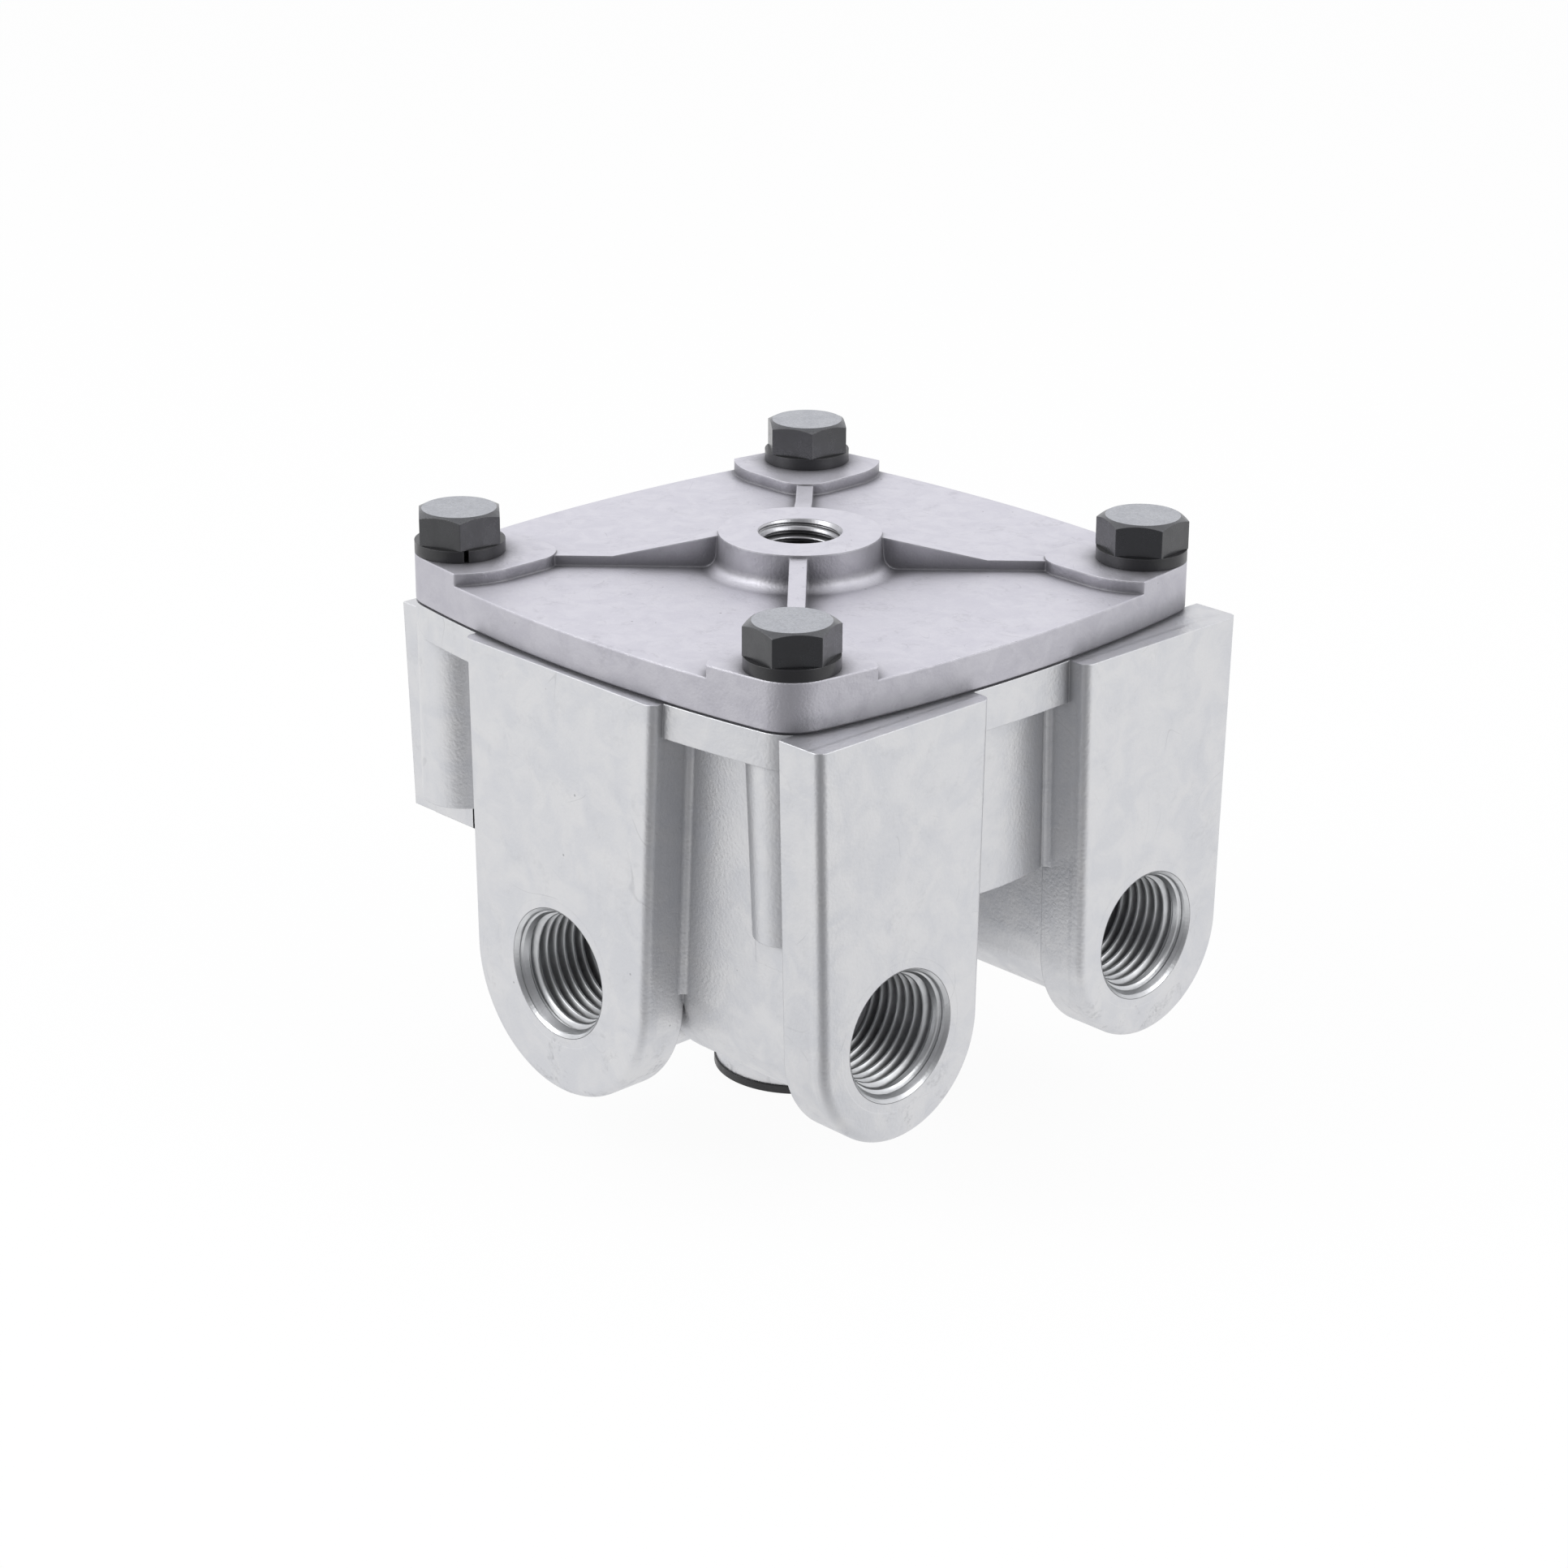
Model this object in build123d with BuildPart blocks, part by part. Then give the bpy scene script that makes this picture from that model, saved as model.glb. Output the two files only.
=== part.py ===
from build123d import *
from math import cos, radians, sin, sqrt, tan
import os

os.makedirs("parts", exist_ok=True)

# The valve axis is Z. The origin is the centre of the control port's mouth, on top of the cover.
# The supply port faces -Y, the two delivery ports face +X, the mounting pad faces -X.

# Cover and joint outline
bolt_half = 39.1            # half the side of the bolt square
corner_r = 7.4              # outline radius round each bolt
side_bulge = 3.3            # middle of each bulged side beyond the corners
boss_rise = 3.9             # control port boss over the bolt pads
pad_rise = 2.0              # bolt pads over the cover plate
plate_t = 6.2               # cover plate at its rim
control_depth = 3.2         # control chamber in the cover's underside
boss_r = 13.3
boss_flare = 0.3            # boss wall's draft down to its foot
boss_foot_fillet = 2.4
pad_r = 12.8
pad_inner_fillet = 6.0
rib_t = 2.8
rib_level = 0.3             # rib's level end below the bolt pads
rib_bend_x = 21.5           # where the rib's slope meets its level end
rib_drop = 0.3              # rib's high end below the boss's top
root_depth = 1.0            # overlap of boss and ribs with the plate

# Ports: half inch taper pipe thread for the air lines, quarter inch for the control line
port_wall_r = 10.4
port_mouth_r = 10.9
port_thread_l = 17.0
port_bore_r = 8.6
control_wall_r = 6.9

# Body casting
flange_t = 5.6
bay_flange_t = 7.0          # flange between the two delivery ears
delivery_proud = 3.5        # delivery ears' faces beyond the bulged side
delivery_ear_t = 8.4
delivery_y = 28.5           # delivery ears to either side of the axis
delivery_drop = 50.5        # joint to the delivery ports' axis
delivery_top_half = 17.7
delivery_round_r = 16.4
delivery_arm_r = 14.5
supply_proud = 1.4          # supply ear's face beyond the bulged side
supply_ear_t = 8.2
supply_x = -1.2             # supply port beside the valve axis
supply_drop = 51.4
supply_top_half = 22.5
supply_round_r = 19.4
supply_arm_r = 17.0
arm_start_x = 9.0           # inner end of the delivery arms
arm_start_y = 8.0           # inner end of the supply arm
arm_end_fillet = 7.0
ear_edge_fillet = 1.0
housing_wall = 5.5
housing_drop = 36.0         # joint to the foot of the piston housing
core_wall = 8.0             # middle core round the supply chamber
core_foot_t = 5.2           # core under the supply chamber
exhaust_boss_wall = 2.7
exhaust_drop = 80.8         # joint to the foot of the exhaust boss
column_top_r = 6.2          # bolt columns on the delivery side
column_draft = 1.3          # degrees
mount_proud = 2.2           # mounting pad's face beyond the bulged side
mount_pad_t = 15.5
mount_top_drop = 3.3        # joint to the top of the mounting pad
mount_foot_drop = 39.5
mount_half = 41.2
mount_foot_half = 40.0
mount_column_r = 7.4
mount_pitch = 60.0
mount_drop = 21.4
mount_hole_r = 4.25
mount_hole_l = 12.0

# Inside of the body
bore_r = 41.0               # piston bore
bore_depth = 24.8
web_t = 2.3                 # web that carries the inlet seat
seat_r = 8.2                # inlet seat opening
seat_wall = 1.2
seat_lip = 1.2
supply_chamber_r = 16.0
guide_sink = 0.85           # guide's top below the foot of the supply chamber
guide_bore_r = 11.2
passage_r = 5.5             # from the delivery chamber down to each delivery port
passage_x = 23.0
passage_y = 25.5
port_reach_x = 16.0         # delivery bores end this far from the axis
port_reach_y = 12.0

# Bolts, M8 with spring washers
bolt_r = 4.0
bolt_l = 25.0
bolt_flats = 13.0
head_chamfer = 28.0         # degrees
head_flat_r = 6.1           # flat top of a bolt's head
bolt_tip_chamfer = 0.8
head_h = 5.3
washer_h = 2.0
washer_r = 7.4
washer_split = 0.8
bolt_hole_spare = 2.0
bolt_turns = {(1, -1): -7.0, (-1, -1): 21.7, (1, 1): 36.2, (-1, 1): 22.3}
split_turns = {(1, -1): 80.0, (-1, -1): -31.0, (1, 1): 140.0, (-1, 1): 200.0}

# Clearances
ring_gap = 0.05             # O-rings to the walls that they slide on
land_gap = 0.3              # piston lands to the bore
slide_gap = 0.1             # valve tube in its guide
seat_gap = 0.05             # parts that rest on a flat seat
thread_gap = 0.05           # bolts in their tapped holes
fit_gap = 0.2               # guide in its bore, washers on the bolts
cover_hole_gap = 0.5        # bolts in the cover's holes

# Seals and moving parts
seal_land = 2.8             # piston bore to the middle of the cover's seal
cover_seal_wire_r = 1.1
piston_crown_t = 4.5
piston_skirt_h = 12.0
piston_crown_drop = 1.9     # crown's top below the skirt's top
piston_skirt_t = 4.5
ring_wire_r = 1.6
hub_gap = 1.2               # piston's hub in the inlet seat
hub_hole_step = 0.2         # hub's hole less than the tube's
hub_hole_l = 10.0
exhaust_gap = 2.0           # piston's exhaust seat over the rubber at rest
piston_spring_r = 13.0
piston_spring_wire_r = 1.0
piston_spring_turns = 3.5
valve_head_r = 10.4
valve_head_t = 3.0
rubber_t = 1.0
rubber_step = 0.4           # rubber's rim inside the head's
tube_r = 6.9
tube_hole_r = 5.2
tube_foot_rise = 4.3        # guide's foot to the tube's foot
valve_spring_gap = 2.0      # tube's wall to the middle of the wire
valve_spring_wire_r = 0.7
valve_spring_turns = 5.0
spring_washer_t = 1.0
guide_l = 16.5
guide_ring_wire_r = 0.9
outer_ring_drop = 5.0       # guide's top to its outer O-ring
inner_ring_drop = 11.5
retainer_t = 1.2
retainer_gap = 2.4          # tube's wall to the snap ring
retainer_mouth = 7.0        # gap between the snap ring's ends
retainer_bite = 0.9         # depth of the snap ring's groove in the bore
retainer_rise = 4.4         # foot of the exhaust boss to the snap ring's groove

# Exhaust cover
cover_ring_lap = 0.3        # ring's rim beyond the exhaust boss
cover_ring_t = 1.3
spigot_l = 3.0
spider_t = 1.4
spider_arm_w = 2.4
spider_hub_r = 3.2
spigot_wall = 1.4
flap_gap = 0.6              # flap's rim to the ring round it
window_lap = 1.0            # flap's rim beyond the windows
flap_t = 0.8
flap_washer_r = 4.5
flap_washer_t = 0.7
screw_r = 1.5
screw_head_r = 2.9
screw_head_h = 0.9

# Faces and radii that follow from the sizes above
side_reach = bolt_half + corner_r + side_bulge
delivery_face_x = side_reach + delivery_proud
supply_face_y = side_reach + supply_proud
mount_face_x = side_reach + mount_proud
housing_r = bore_r + housing_wall
core_r = supply_chamber_r + core_wall
exhaust_boss_r = guide_bore_r + exhaust_boss_wall
cover_ring_r = exhaust_boss_r + cover_ring_lap
cover_seal_r = bore_r + seal_land
land_r = bore_r - land_gap
skirt_in_r = land_r - piston_skirt_t
ring_middle_r = bore_r - ring_gap - ring_wire_r
ring_groove_r = ring_middle_r - ring_wire_r - seat_gap
hub_r = seat_r - hub_gap
hub_hole_r = tube_hole_r - hub_hole_step
rubber_r = valve_head_r - rubber_step
valve_spring_r = tube_r + valve_spring_gap
guide_r = guide_bore_r - fit_gap
retainer_in_r = tube_r + retainer_gap
flap_room_r = guide_bore_r - spigot_wall
flap_r = flap_room_r - flap_gap
window_r = flap_r - window_lap

# Levels
pad_z = -boss_rise
plate_z = pad_z - pad_rise
joint_z = plate_z - plate_t
housing_z = joint_z - housing_drop
exhaust_z = joint_z - exhaust_drop
delivery_z = joint_z - delivery_drop
supply_z = joint_z - supply_drop
floor_z = joint_z - bore_depth
web_z = floor_z - web_t
seat_z = web_z - seat_lip
groove_z = exhaust_z + retainer_rise
guide_foot_z = groove_z + retainer_t + seat_gap
guide_z = guide_foot_z + guide_l
chamber_foot_z = guide_z + guide_sink
core_z = chamber_foot_z - core_foot_t
tube_foot_z = guide_foot_z + tube_foot_rise
head_z = seat_z - seat_gap - rubber_t
spider_z = exhaust_z + spigot_l - spider_t
mount_z = joint_z - mount_drop
mount_top_z = joint_z - mount_top_drop
mount_foot_z = joint_z - mount_foot_drop
piston_z = joint_z - seat_gap
crown_z = piston_z - piston_crown_drop
hub_z = seat_z - seat_gap + exhaust_gap
ring_z = piston_z - piston_skirt_h / 2

bolt_places = [(x * bolt_half, y * bolt_half) for x, y in bolt_turns]


def tombstone(middle, top_z, port_z, top_half, round_r):
    """Straight top, sides that draw in to the port's axis, full round foot."""
    with BuildLine() as sides:
        top = Line((middle - top_half, top_z), (middle + top_half, top_z))
        side = Line(top @ 1, (middle + round_r, port_z))
        foot = ThreePointArc(side @ 1, (middle, port_z - round_r), (middle - round_r, port_z))
        Line(foot @ 1, top @ 0)
    make_face(sides.edges())


def port_profile(reach):
    """Half section of an air port, its mouth at the origin, running along -Y of the sketch."""
    with BuildLine() as half:
        Polyline(
            (0, 0),
            (port_mouth_r, 0),
            (port_wall_r, port_wall_r - port_mouth_r),
            (port_wall_r, -port_thread_l),
            (port_bore_r, -port_thread_l - port_wall_r + port_bore_r),
            (port_bore_r, -reach),
            (0, -reach),
            close=True,
        )
    make_face(half.edges())


def coil(middle_r, wire_r, foot_z, top_z, turns):
    """Helical spring between two flat seats, clear of both by the seat gap, its wire six-sided."""
    rise = top_z - foot_z - 2 * (wire_r + seat_gap)
    path = Helix(rise / turns, rise, middle_r, center=(0, 0, foot_z + wire_r + seat_gap), mode=Mode.PRIVATE)
    with BuildSketch(Plane(path @ 0, z_dir=path % 0)) as section:
        RegularPolygon(wire_r, 6)
    sweep(section.sketch, path=path, is_frenet=True)


def o_ring(wire_r, middle_r, z):
    """O-ring about the valve axis, its section eight-sided."""
    with BuildSketch(Plane.XZ) as section:
        with Locations((middle_r, z)):
            RegularPolygon(wire_r, 8, major_radius=False, rotation=22.5)
    revolve(section.sketch, axis=Axis.Z)


# Outline shared by the cover and the joint flange: four flat arcs joined by corner arcs
side_gain = corner_r + side_bulge
side_arc_r = (bolt_half**2 + side_gain**2 - corner_r**2) / (2 * (side_gain - corner_r))
side_centre = side_arc_r - side_reach
with BuildSketch() as outline:
    Circle(bolt_half + side_reach)
    for arc_x, arc_y in ((1, 0), (-1, 0), (0, 1), (0, -1)):
        with Locations((arc_x * side_centre, arc_y * side_centre)):
            Circle(side_arc_r, mode=Mode.INTERSECT)
    fillet(outline.vertices(), corner_r)

# Cover
rib_low_z = pad_z - rib_level
boss_foot_r = boss_r + boss_flare + boss_foot_fillet
rib_start = boss_r - root_depth
with BuildPart() as cover:
    with BuildSketch(Plane.XY.offset(joint_z)):
        add(outline.sketch)
    extrude(amount=plate_t)
    with BuildSketch(Plane.XY.offset(plate_z)) as pads:
        with Locations(*bolt_places):
            Circle(pad_r)
        for bolt_x, bolt_y in bolt_places:
            inward = 1 - pad_r / (2 * bolt_half)
            with Locations((bolt_x * inward, bolt_y * inward)):
                Rectangle(pad_r, pad_r)
        inner_corners = sorted(pads.vertices(), key=lambda corner: Vector(corner.X, corner.Y).length)[:4]
        fillet(inner_corners, pad_inner_fillet)
        add(outline.sketch, mode=Mode.INTERSECT)
    extrude(amount=pad_rise)
    with BuildSketch(Plane.XZ):
        with BuildLine():
            crown = Line((0, 0), (boss_r, 0))
            wall = Line(crown @ 1, (boss_r + boss_flare, plate_z + boss_foot_fillet))
            flare = RadiusArc(wall @ 1, (boss_foot_r, plate_z), -boss_foot_fillet)
            Polyline(flare @ 1, (boss_foot_r, plate_z - root_depth), (0, plate_z - root_depth), crown @ 0)
        make_face()
    revolve(axis=Axis.Z)
    for turn in (45, 135, 225, 315):
        with BuildSketch(Plane((0, 0, 0), x_dir=(cos(radians(turn)), sin(radians(turn)), 0),
                               z_dir=(sin(radians(turn)), -cos(radians(turn)), 0))):
            with BuildLine():
                Polyline(
                    (rib_start, -rib_drop),
                    (rib_bend_x * sqrt(2), rib_low_z),
                    (bolt_half * sqrt(2) - pad_r, rib_low_z),
                    (bolt_half * sqrt(2) - pad_r, plate_z - root_depth),
                    (rib_start, plate_z - root_depth),
                    close=True,
                )
            make_face()
        extrude(amount=rib_t / 2, both=True)
    with BuildSketch(Plane.XY.offset(joint_z)):
        Circle(bore_r - piston_skirt_t)
    extrude(amount=control_depth, mode=Mode.SUBTRACT)
    Hole(control_wall_r, depth=-joint_z)
    with Locations(*[(x, y, pad_z) for x, y in bolt_places]):
        Hole(bolt_r + cover_hole_gap, depth=pad_z - joint_z)
cover.part.label = "cover"
export_step(cover.part, "parts/cover.step")

# Arms that carry the ports, each with its ear
with BuildPart() as delivery_arm:
    with BuildSketch(Plane.YZ.offset(arm_start_x)):
        tombstone(0, joint_z, delivery_z, delivery_arm_r, delivery_arm_r)
    extrude(amount=delivery_face_x - delivery_ear_t - arm_start_x)
    inner_face = delivery_arm.faces().sort_by(Axis.X)[0]
    fillet(inner_face.edges().sort_by(Axis.Z)[:-1], arm_end_fillet)
    with BuildSketch(Plane.YZ.offset(delivery_face_x)):
        tombstone(0, joint_z, delivery_z, delivery_top_half, delivery_round_r)
    extrude(amount=-delivery_ear_t)
    outer_face = delivery_arm.faces().sort_by(Axis.X)[-1]
    fillet(outer_face.edges().sort_by(Axis.Z)[:-1], ear_edge_fillet)

with BuildPart() as supply_arm:
    with BuildSketch(Plane.XZ.offset(arm_start_y)):
        tombstone(supply_x, joint_z, supply_z, supply_arm_r, supply_arm_r)
    extrude(amount=supply_face_y - supply_ear_t - arm_start_y)
    with BuildSketch(Plane.XZ.offset(supply_face_y)):
        tombstone(supply_x, joint_z, supply_z, supply_top_half, supply_round_r)
    extrude(amount=-supply_ear_t)
    outer_face = supply_arm.faces().sort_by(Axis.Y)[0]
    fillet(outer_face.edges().sort_by(Axis.Z)[:-1], ear_edge_fillet)

# Body
with BuildPart() as body:
    # Joint flange, deeper between the delivery ears
    with BuildSketch(Plane.XY.offset(joint_z)):
        add(outline.sketch)
    extrude(amount=-flange_t)
    with BuildSketch(Plane.XY.offset(joint_z)):
        Rectangle(side_reach * 2, delivery_y * 2, align=(Align.MIN, Align.CENTER))
        add(outline.sketch, mode=Mode.INTERSECT)
    extrude(amount=-bay_flange_t)
    # Round piston housing, middle core and exhaust boss
    for round_r, foot_z in ((housing_r, housing_z), (core_r, core_z), (exhaust_boss_r, exhaust_z)):
        with BuildSketch(Plane.XY.offset(joint_z)):
            Circle(round_r)
        extrude(amount=foot_z - joint_z)
    with Locations((0, delivery_y, 0), (0, -delivery_y, 0)):
        add(delivery_arm.part)
    add(supply_arm.part)
    # Bolt columns on the delivery side taper into the arms' walls
    with BuildSketch(Plane.XY.offset(joint_z)):
        with Locations((bolt_half, -bolt_half), (bolt_half, bolt_half)):
            Circle(column_top_r)
    extrude(amount=-mount_foot_drop, taper=column_draft)
    # Mounting pad with its two bolt columns
    with BuildSketch(Plane.YZ.offset(-mount_face_x)):
        with BuildLine():
            Polyline(
                (-mount_half, mount_top_z),
                (mount_half, mount_top_z),
                (mount_foot_half, mount_foot_z),
                (-mount_foot_half, mount_foot_z),
                close=True,
            )
        make_face()
    extrude(amount=mount_pad_t)
    with BuildSketch(Plane.XY.offset(joint_z)):
        with Locations((-bolt_half, -bolt_half), (-bolt_half, bolt_half)):
            Circle(mount_column_r)
    extrude(amount=mount_foot_z - joint_z)
    # Piston bore, inlet seat with its lip, supply chamber and guide bore with the snap ring's groove
    with BuildSketch(Plane.XZ):
        with BuildLine():
            Polyline(
                (0, joint_z),
                (bore_r, joint_z),
                (bore_r, floor_z),
                (seat_r, floor_z),
                (seat_r, seat_z),
                (seat_r + seat_wall, seat_z),
                (seat_r + seat_wall, web_z),
                (supply_chamber_r, web_z),
                (supply_chamber_r, chamber_foot_z),
                (guide_bore_r, chamber_foot_z),
                (guide_bore_r, groove_z + retainer_t + seat_gap),
                (guide_bore_r + retainer_bite, groove_z + retainer_t + seat_gap),
                (guide_bore_r + retainer_bite, groove_z),
                (guide_bore_r, groove_z),
                (guide_bore_r, exhaust_z),
                (0, exhaust_z),
                close=True,
            )
        make_face()
    revolve(axis=Axis.Z, mode=Mode.SUBTRACT)
    # Groove for the joint's O-ring
    with BuildSketch(Plane.XY.offset(joint_z)):
        Circle(cover_seal_r + cover_seal_wire_r + seat_gap)
        Circle(cover_seal_r - cover_seal_wire_r - seat_gap, mode=Mode.SUBTRACT)
    extrude(amount=-2 * cover_seal_wire_r, mode=Mode.SUBTRACT)
    # Delivery passages down from the piston bore, then the ports
    with Locations((passage_x, passage_y, floor_z), (passage_x, -passage_y, floor_z)):
        Hole(passage_r, depth=floor_z - delivery_z)
    for side in (-1, 1):
        port_frame = Plane((delivery_face_x, side * delivery_y, delivery_z), x_dir=(0, -1, 0), z_dir=(0, 0, 1))
        with BuildSketch(port_frame):
            port_profile(delivery_face_x - port_reach_x)
        revolve(axis=Axis((0, side * delivery_y, delivery_z), (1, 0, 0)), mode=Mode.SUBTRACT)
    port_frame = Plane((supply_x, -supply_face_y, supply_z), x_dir=(-1, 0, 0), z_dir=(0, 0, 1))
    with BuildSketch(port_frame):
        port_profile(supply_face_y - port_reach_y)
    revolve(axis=Axis((supply_x, 0, supply_z), (0, 1, 0)), mode=Mode.SUBTRACT)
    # Tapped holes for the cover bolts and the mounting bolts
    with Locations(*[(x, y, joint_z) for x, y in bolt_places]):
        Hole(bolt_r + thread_gap, depth=bolt_l - washer_h - (pad_z - joint_z) + bolt_hole_spare)
    for side in (-1, 1):
        with Locations(Plane((-mount_face_x, side * mount_pitch / 2, mount_z), z_dir=(-1, 0, 0))):
            Hole(mount_hole_r, depth=mount_hole_l)
body.part.label = "body"
export_step(body.part, "parts/body.step")

# Cover bolts: one bolt, then four of them, each turned as it was tightened
with BuildPart() as bolt:
    with BuildSketch():
        RegularPolygon(bolt_flats / 2, 6, major_radius=False)
    extrude(amount=head_h)
    with BuildSketch(Plane.XZ):
        with BuildLine():
            Polyline(
                (0, 0),
                (bolt_flats, 0),
                (bolt_flats, head_h - (bolt_flats - head_flat_r) * tan(radians(head_chamfer))),
                (head_flat_r, head_h),
                (0, head_h),
                close=True,
            )
        make_face()
    revolve(axis=Axis.Z, mode=Mode.INTERSECT)
    with BuildSketch():
        Circle(bolt_r)
    extrude(amount=-bolt_l)
    chamfer(bolt.faces().sort_by(Axis.Z)[0].edges(), bolt_tip_chamfer)

with BuildPart() as cover_bolts:
    for (side_x, side_y), turn in bolt_turns.items():
        with Locations(Location((side_x * bolt_half, side_y * bolt_half, pad_z + washer_h), (0, 0, turn))):
            add(bolt.part)
cover_bolts.part.label = "cover_bolts"
export_step(cover_bolts.part, "parts/cover_bolts.step")

# Split lock washers
with BuildPart() as washer:
    with BuildSketch():
        Circle(washer_r)
        Circle(bolt_r + fit_gap, mode=Mode.SUBTRACT)
        Rectangle(washer_r * 2, washer_split, align=(Align.MIN, Align.CENTER), mode=Mode.SUBTRACT)
    extrude(amount=washer_h)

with BuildPart() as lock_washers:
    for (side_x, side_y), turn in split_turns.items():
        with Locations(Location((side_x * bolt_half, side_y * bolt_half, pad_z), (0, 0, turn))):
            add(washer.part)
lock_washers.part.label = "lock_washers"
export_step(lock_washers.part, "parts/lock_washers.step")

# Cover seal
with BuildPart() as cover_seal:
    o_ring(cover_seal_wire_r - seat_gap, cover_seal_r, joint_z - cover_seal_wire_r)
cover_seal.part.label = "cover_seal"
export_step(cover_seal.part, "parts/cover_seal.step")

# Relay piston
with BuildPart() as relay_piston:
    with BuildSketch(Plane.XZ):
        with BuildLine():
            Polyline(
                (0, crown_z),
                (skirt_in_r, crown_z),
                (skirt_in_r, piston_z),
                (land_r, piston_z),
                (land_r, ring_z + ring_wire_r + seat_gap),
                (ring_groove_r, ring_z + ring_wire_r + seat_gap),
                (ring_groove_r, ring_z - ring_wire_r - seat_gap),
                (land_r, ring_z - ring_wire_r - seat_gap),
                (land_r, piston_z - piston_skirt_h),
                (skirt_in_r, piston_z - piston_skirt_h),
                (skirt_in_r, crown_z - piston_crown_t),
                (hub_r, crown_z - piston_crown_t),
                (hub_r, hub_z),
                (hub_hole_r, hub_z),
                (hub_hole_r, hub_z + hub_hole_l),
                (0, hub_z + hub_hole_l),
                close=True,
            )
        make_face()
    revolve(axis=Axis.Z)
relay_piston.part.label = "relay_piston"
export_step(relay_piston.part, "parts/relay_piston.step")

# Piston ring
with BuildPart() as piston_ring:
    o_ring(ring_wire_r, ring_middle_r, ring_z)
piston_ring.part.label = "piston_ring"
export_step(piston_ring.part, "parts/piston_ring.step")

# Piston return spring
with BuildPart() as piston_spring:
    coil(piston_spring_r, piston_spring_wire_r, floor_z, crown_z - piston_crown_t, piston_spring_turns)
piston_spring.part.label = "piston_spring"
export_step(piston_spring.part, "parts/piston_spring.step")

# Hollow valve tube with its head
with BuildPart() as valve_tube:
    with BuildSketch(Plane.XZ):
        with BuildLine():
            Polyline(
                (tube_hole_r, head_z),
                (valve_head_r, head_z),
                (valve_head_r, head_z - valve_head_t),
                (tube_r, head_z - valve_head_t),
                (tube_r, tube_foot_z),
                (tube_hole_r, tube_foot_z),
                close=True,
            )
        make_face()
    revolve(axis=Axis.Z)
valve_tube.part.label = "valve_tube"
export_step(valve_tube.part, "parts/valve_tube.step")

# Rubber seat on the valve's head
with BuildPart() as valve_seat_rubber:
    with BuildSketch(Plane.XY.offset(head_z)):
        Circle(rubber_r)
        Circle(tube_hole_r, mode=Mode.SUBTRACT)
    extrude(amount=rubber_t)
valve_seat_rubber.part.label = "valve_seat_rubber"
export_step(valve_seat_rubber.part, "parts/valve_seat_rubber.step")

# Valve spring and the washer that it stands on
with BuildPart() as valve_spring:
    coil(valve_spring_r, valve_spring_wire_r, guide_z + spring_washer_t, head_z - valve_head_t, valve_spring_turns)
valve_spring.part.label = "valve_spring"
export_step(valve_spring.part, "parts/valve_spring.step")

with BuildPart() as spring_washer:
    with BuildSketch(Plane.XY.offset(guide_z)):
        Circle(guide_r)
        Circle(tube_r + land_gap, mode=Mode.SUBTRACT)
    extrude(amount=spring_washer_t)
spring_washer.part.label = "spring_washer"
export_step(spring_washer.part, "parts/spring_washer.step")

# Valve guide with grooves for its outer and inner O-rings
outer_ring_z = guide_z - outer_ring_drop
inner_ring_z = guide_z - inner_ring_drop
outer_ring_r = guide_bore_r - ring_gap - guide_ring_wire_r
inner_ring_r = tube_r + ring_gap + guide_ring_wire_r
groove_half = guide_ring_wire_r + seat_gap
with BuildPart() as valve_guide:
    with BuildSketch(Plane.XY.offset(guide_z)):
        Circle(guide_r)
        Circle(tube_r + slide_gap, mode=Mode.SUBTRACT)
    extrude(amount=-guide_l)
    with BuildSketch(Plane.XY.offset(outer_ring_z)):
        Circle(guide_bore_r)
        Circle(outer_ring_r - groove_half, mode=Mode.SUBTRACT)
    extrude(amount=groove_half, both=True, mode=Mode.SUBTRACT)
    with BuildSketch(Plane.XY.offset(inner_ring_z)):
        Circle(inner_ring_r + groove_half)
    extrude(amount=groove_half, both=True, mode=Mode.SUBTRACT)
valve_guide.part.label = "valve_guide"
export_step(valve_guide.part, "parts/valve_guide.step")

with BuildPart() as guide_outer_ring:
    o_ring(guide_ring_wire_r, outer_ring_r, outer_ring_z)
guide_outer_ring.part.label = "guide_outer_ring"
export_step(guide_outer_ring.part, "parts/guide_outer_ring.step")

with BuildPart() as guide_inner_ring:
    o_ring(guide_ring_wire_r, inner_ring_r, inner_ring_z)
guide_inner_ring.part.label = "guide_inner_ring"
export_step(guide_inner_ring.part, "parts/guide_inner_ring.step")

# Snap ring under the guide
with BuildPart() as guide_retainer:
    with BuildSketch(Plane.XY.offset(groove_z)):
        Circle(guide_bore_r + retainer_bite - seat_gap)
        Circle(retainer_in_r, mode=Mode.SUBTRACT)
        Rectangle(guide_bore_r * 2, retainer_mouth, align=(Align.MIN, Align.CENTER), mode=Mode.SUBTRACT)
    extrude(amount=retainer_t)
guide_retainer.part.label = "guide_retainer"
export_step(guide_retainer.part, "parts/guide_retainer.step")

# Exhaust cover: ring, spigot pressed into the boss, three-arm spider
with BuildPart() as exhaust_cover:
    with BuildSketch(Plane.XY.offset(exhaust_z)):
        Circle(cover_ring_r)
        Circle(flap_room_r, mode=Mode.SUBTRACT)
    extrude(amount=-cover_ring_t)
    with BuildSketch(Plane.XY.offset(exhaust_z)):
        Circle(guide_bore_r)
        Circle(flap_room_r, mode=Mode.SUBTRACT)
    extrude(amount=spigot_l)
    with BuildSketch(Plane.XY.offset(spider_z)):
        Circle(guide_bore_r)
        Circle(window_r, mode=Mode.SUBTRACT)
        Circle(spider_hub_r)
        with PolarLocations(window_r / 2, 3):
            Rectangle(window_r, spider_arm_w)
        Circle(screw_r, mode=Mode.SUBTRACT)
    extrude(amount=spider_t)
exhaust_cover.part.label = "exhaust_cover"
export_step(exhaust_cover.part, "parts/exhaust_cover.step")

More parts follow.
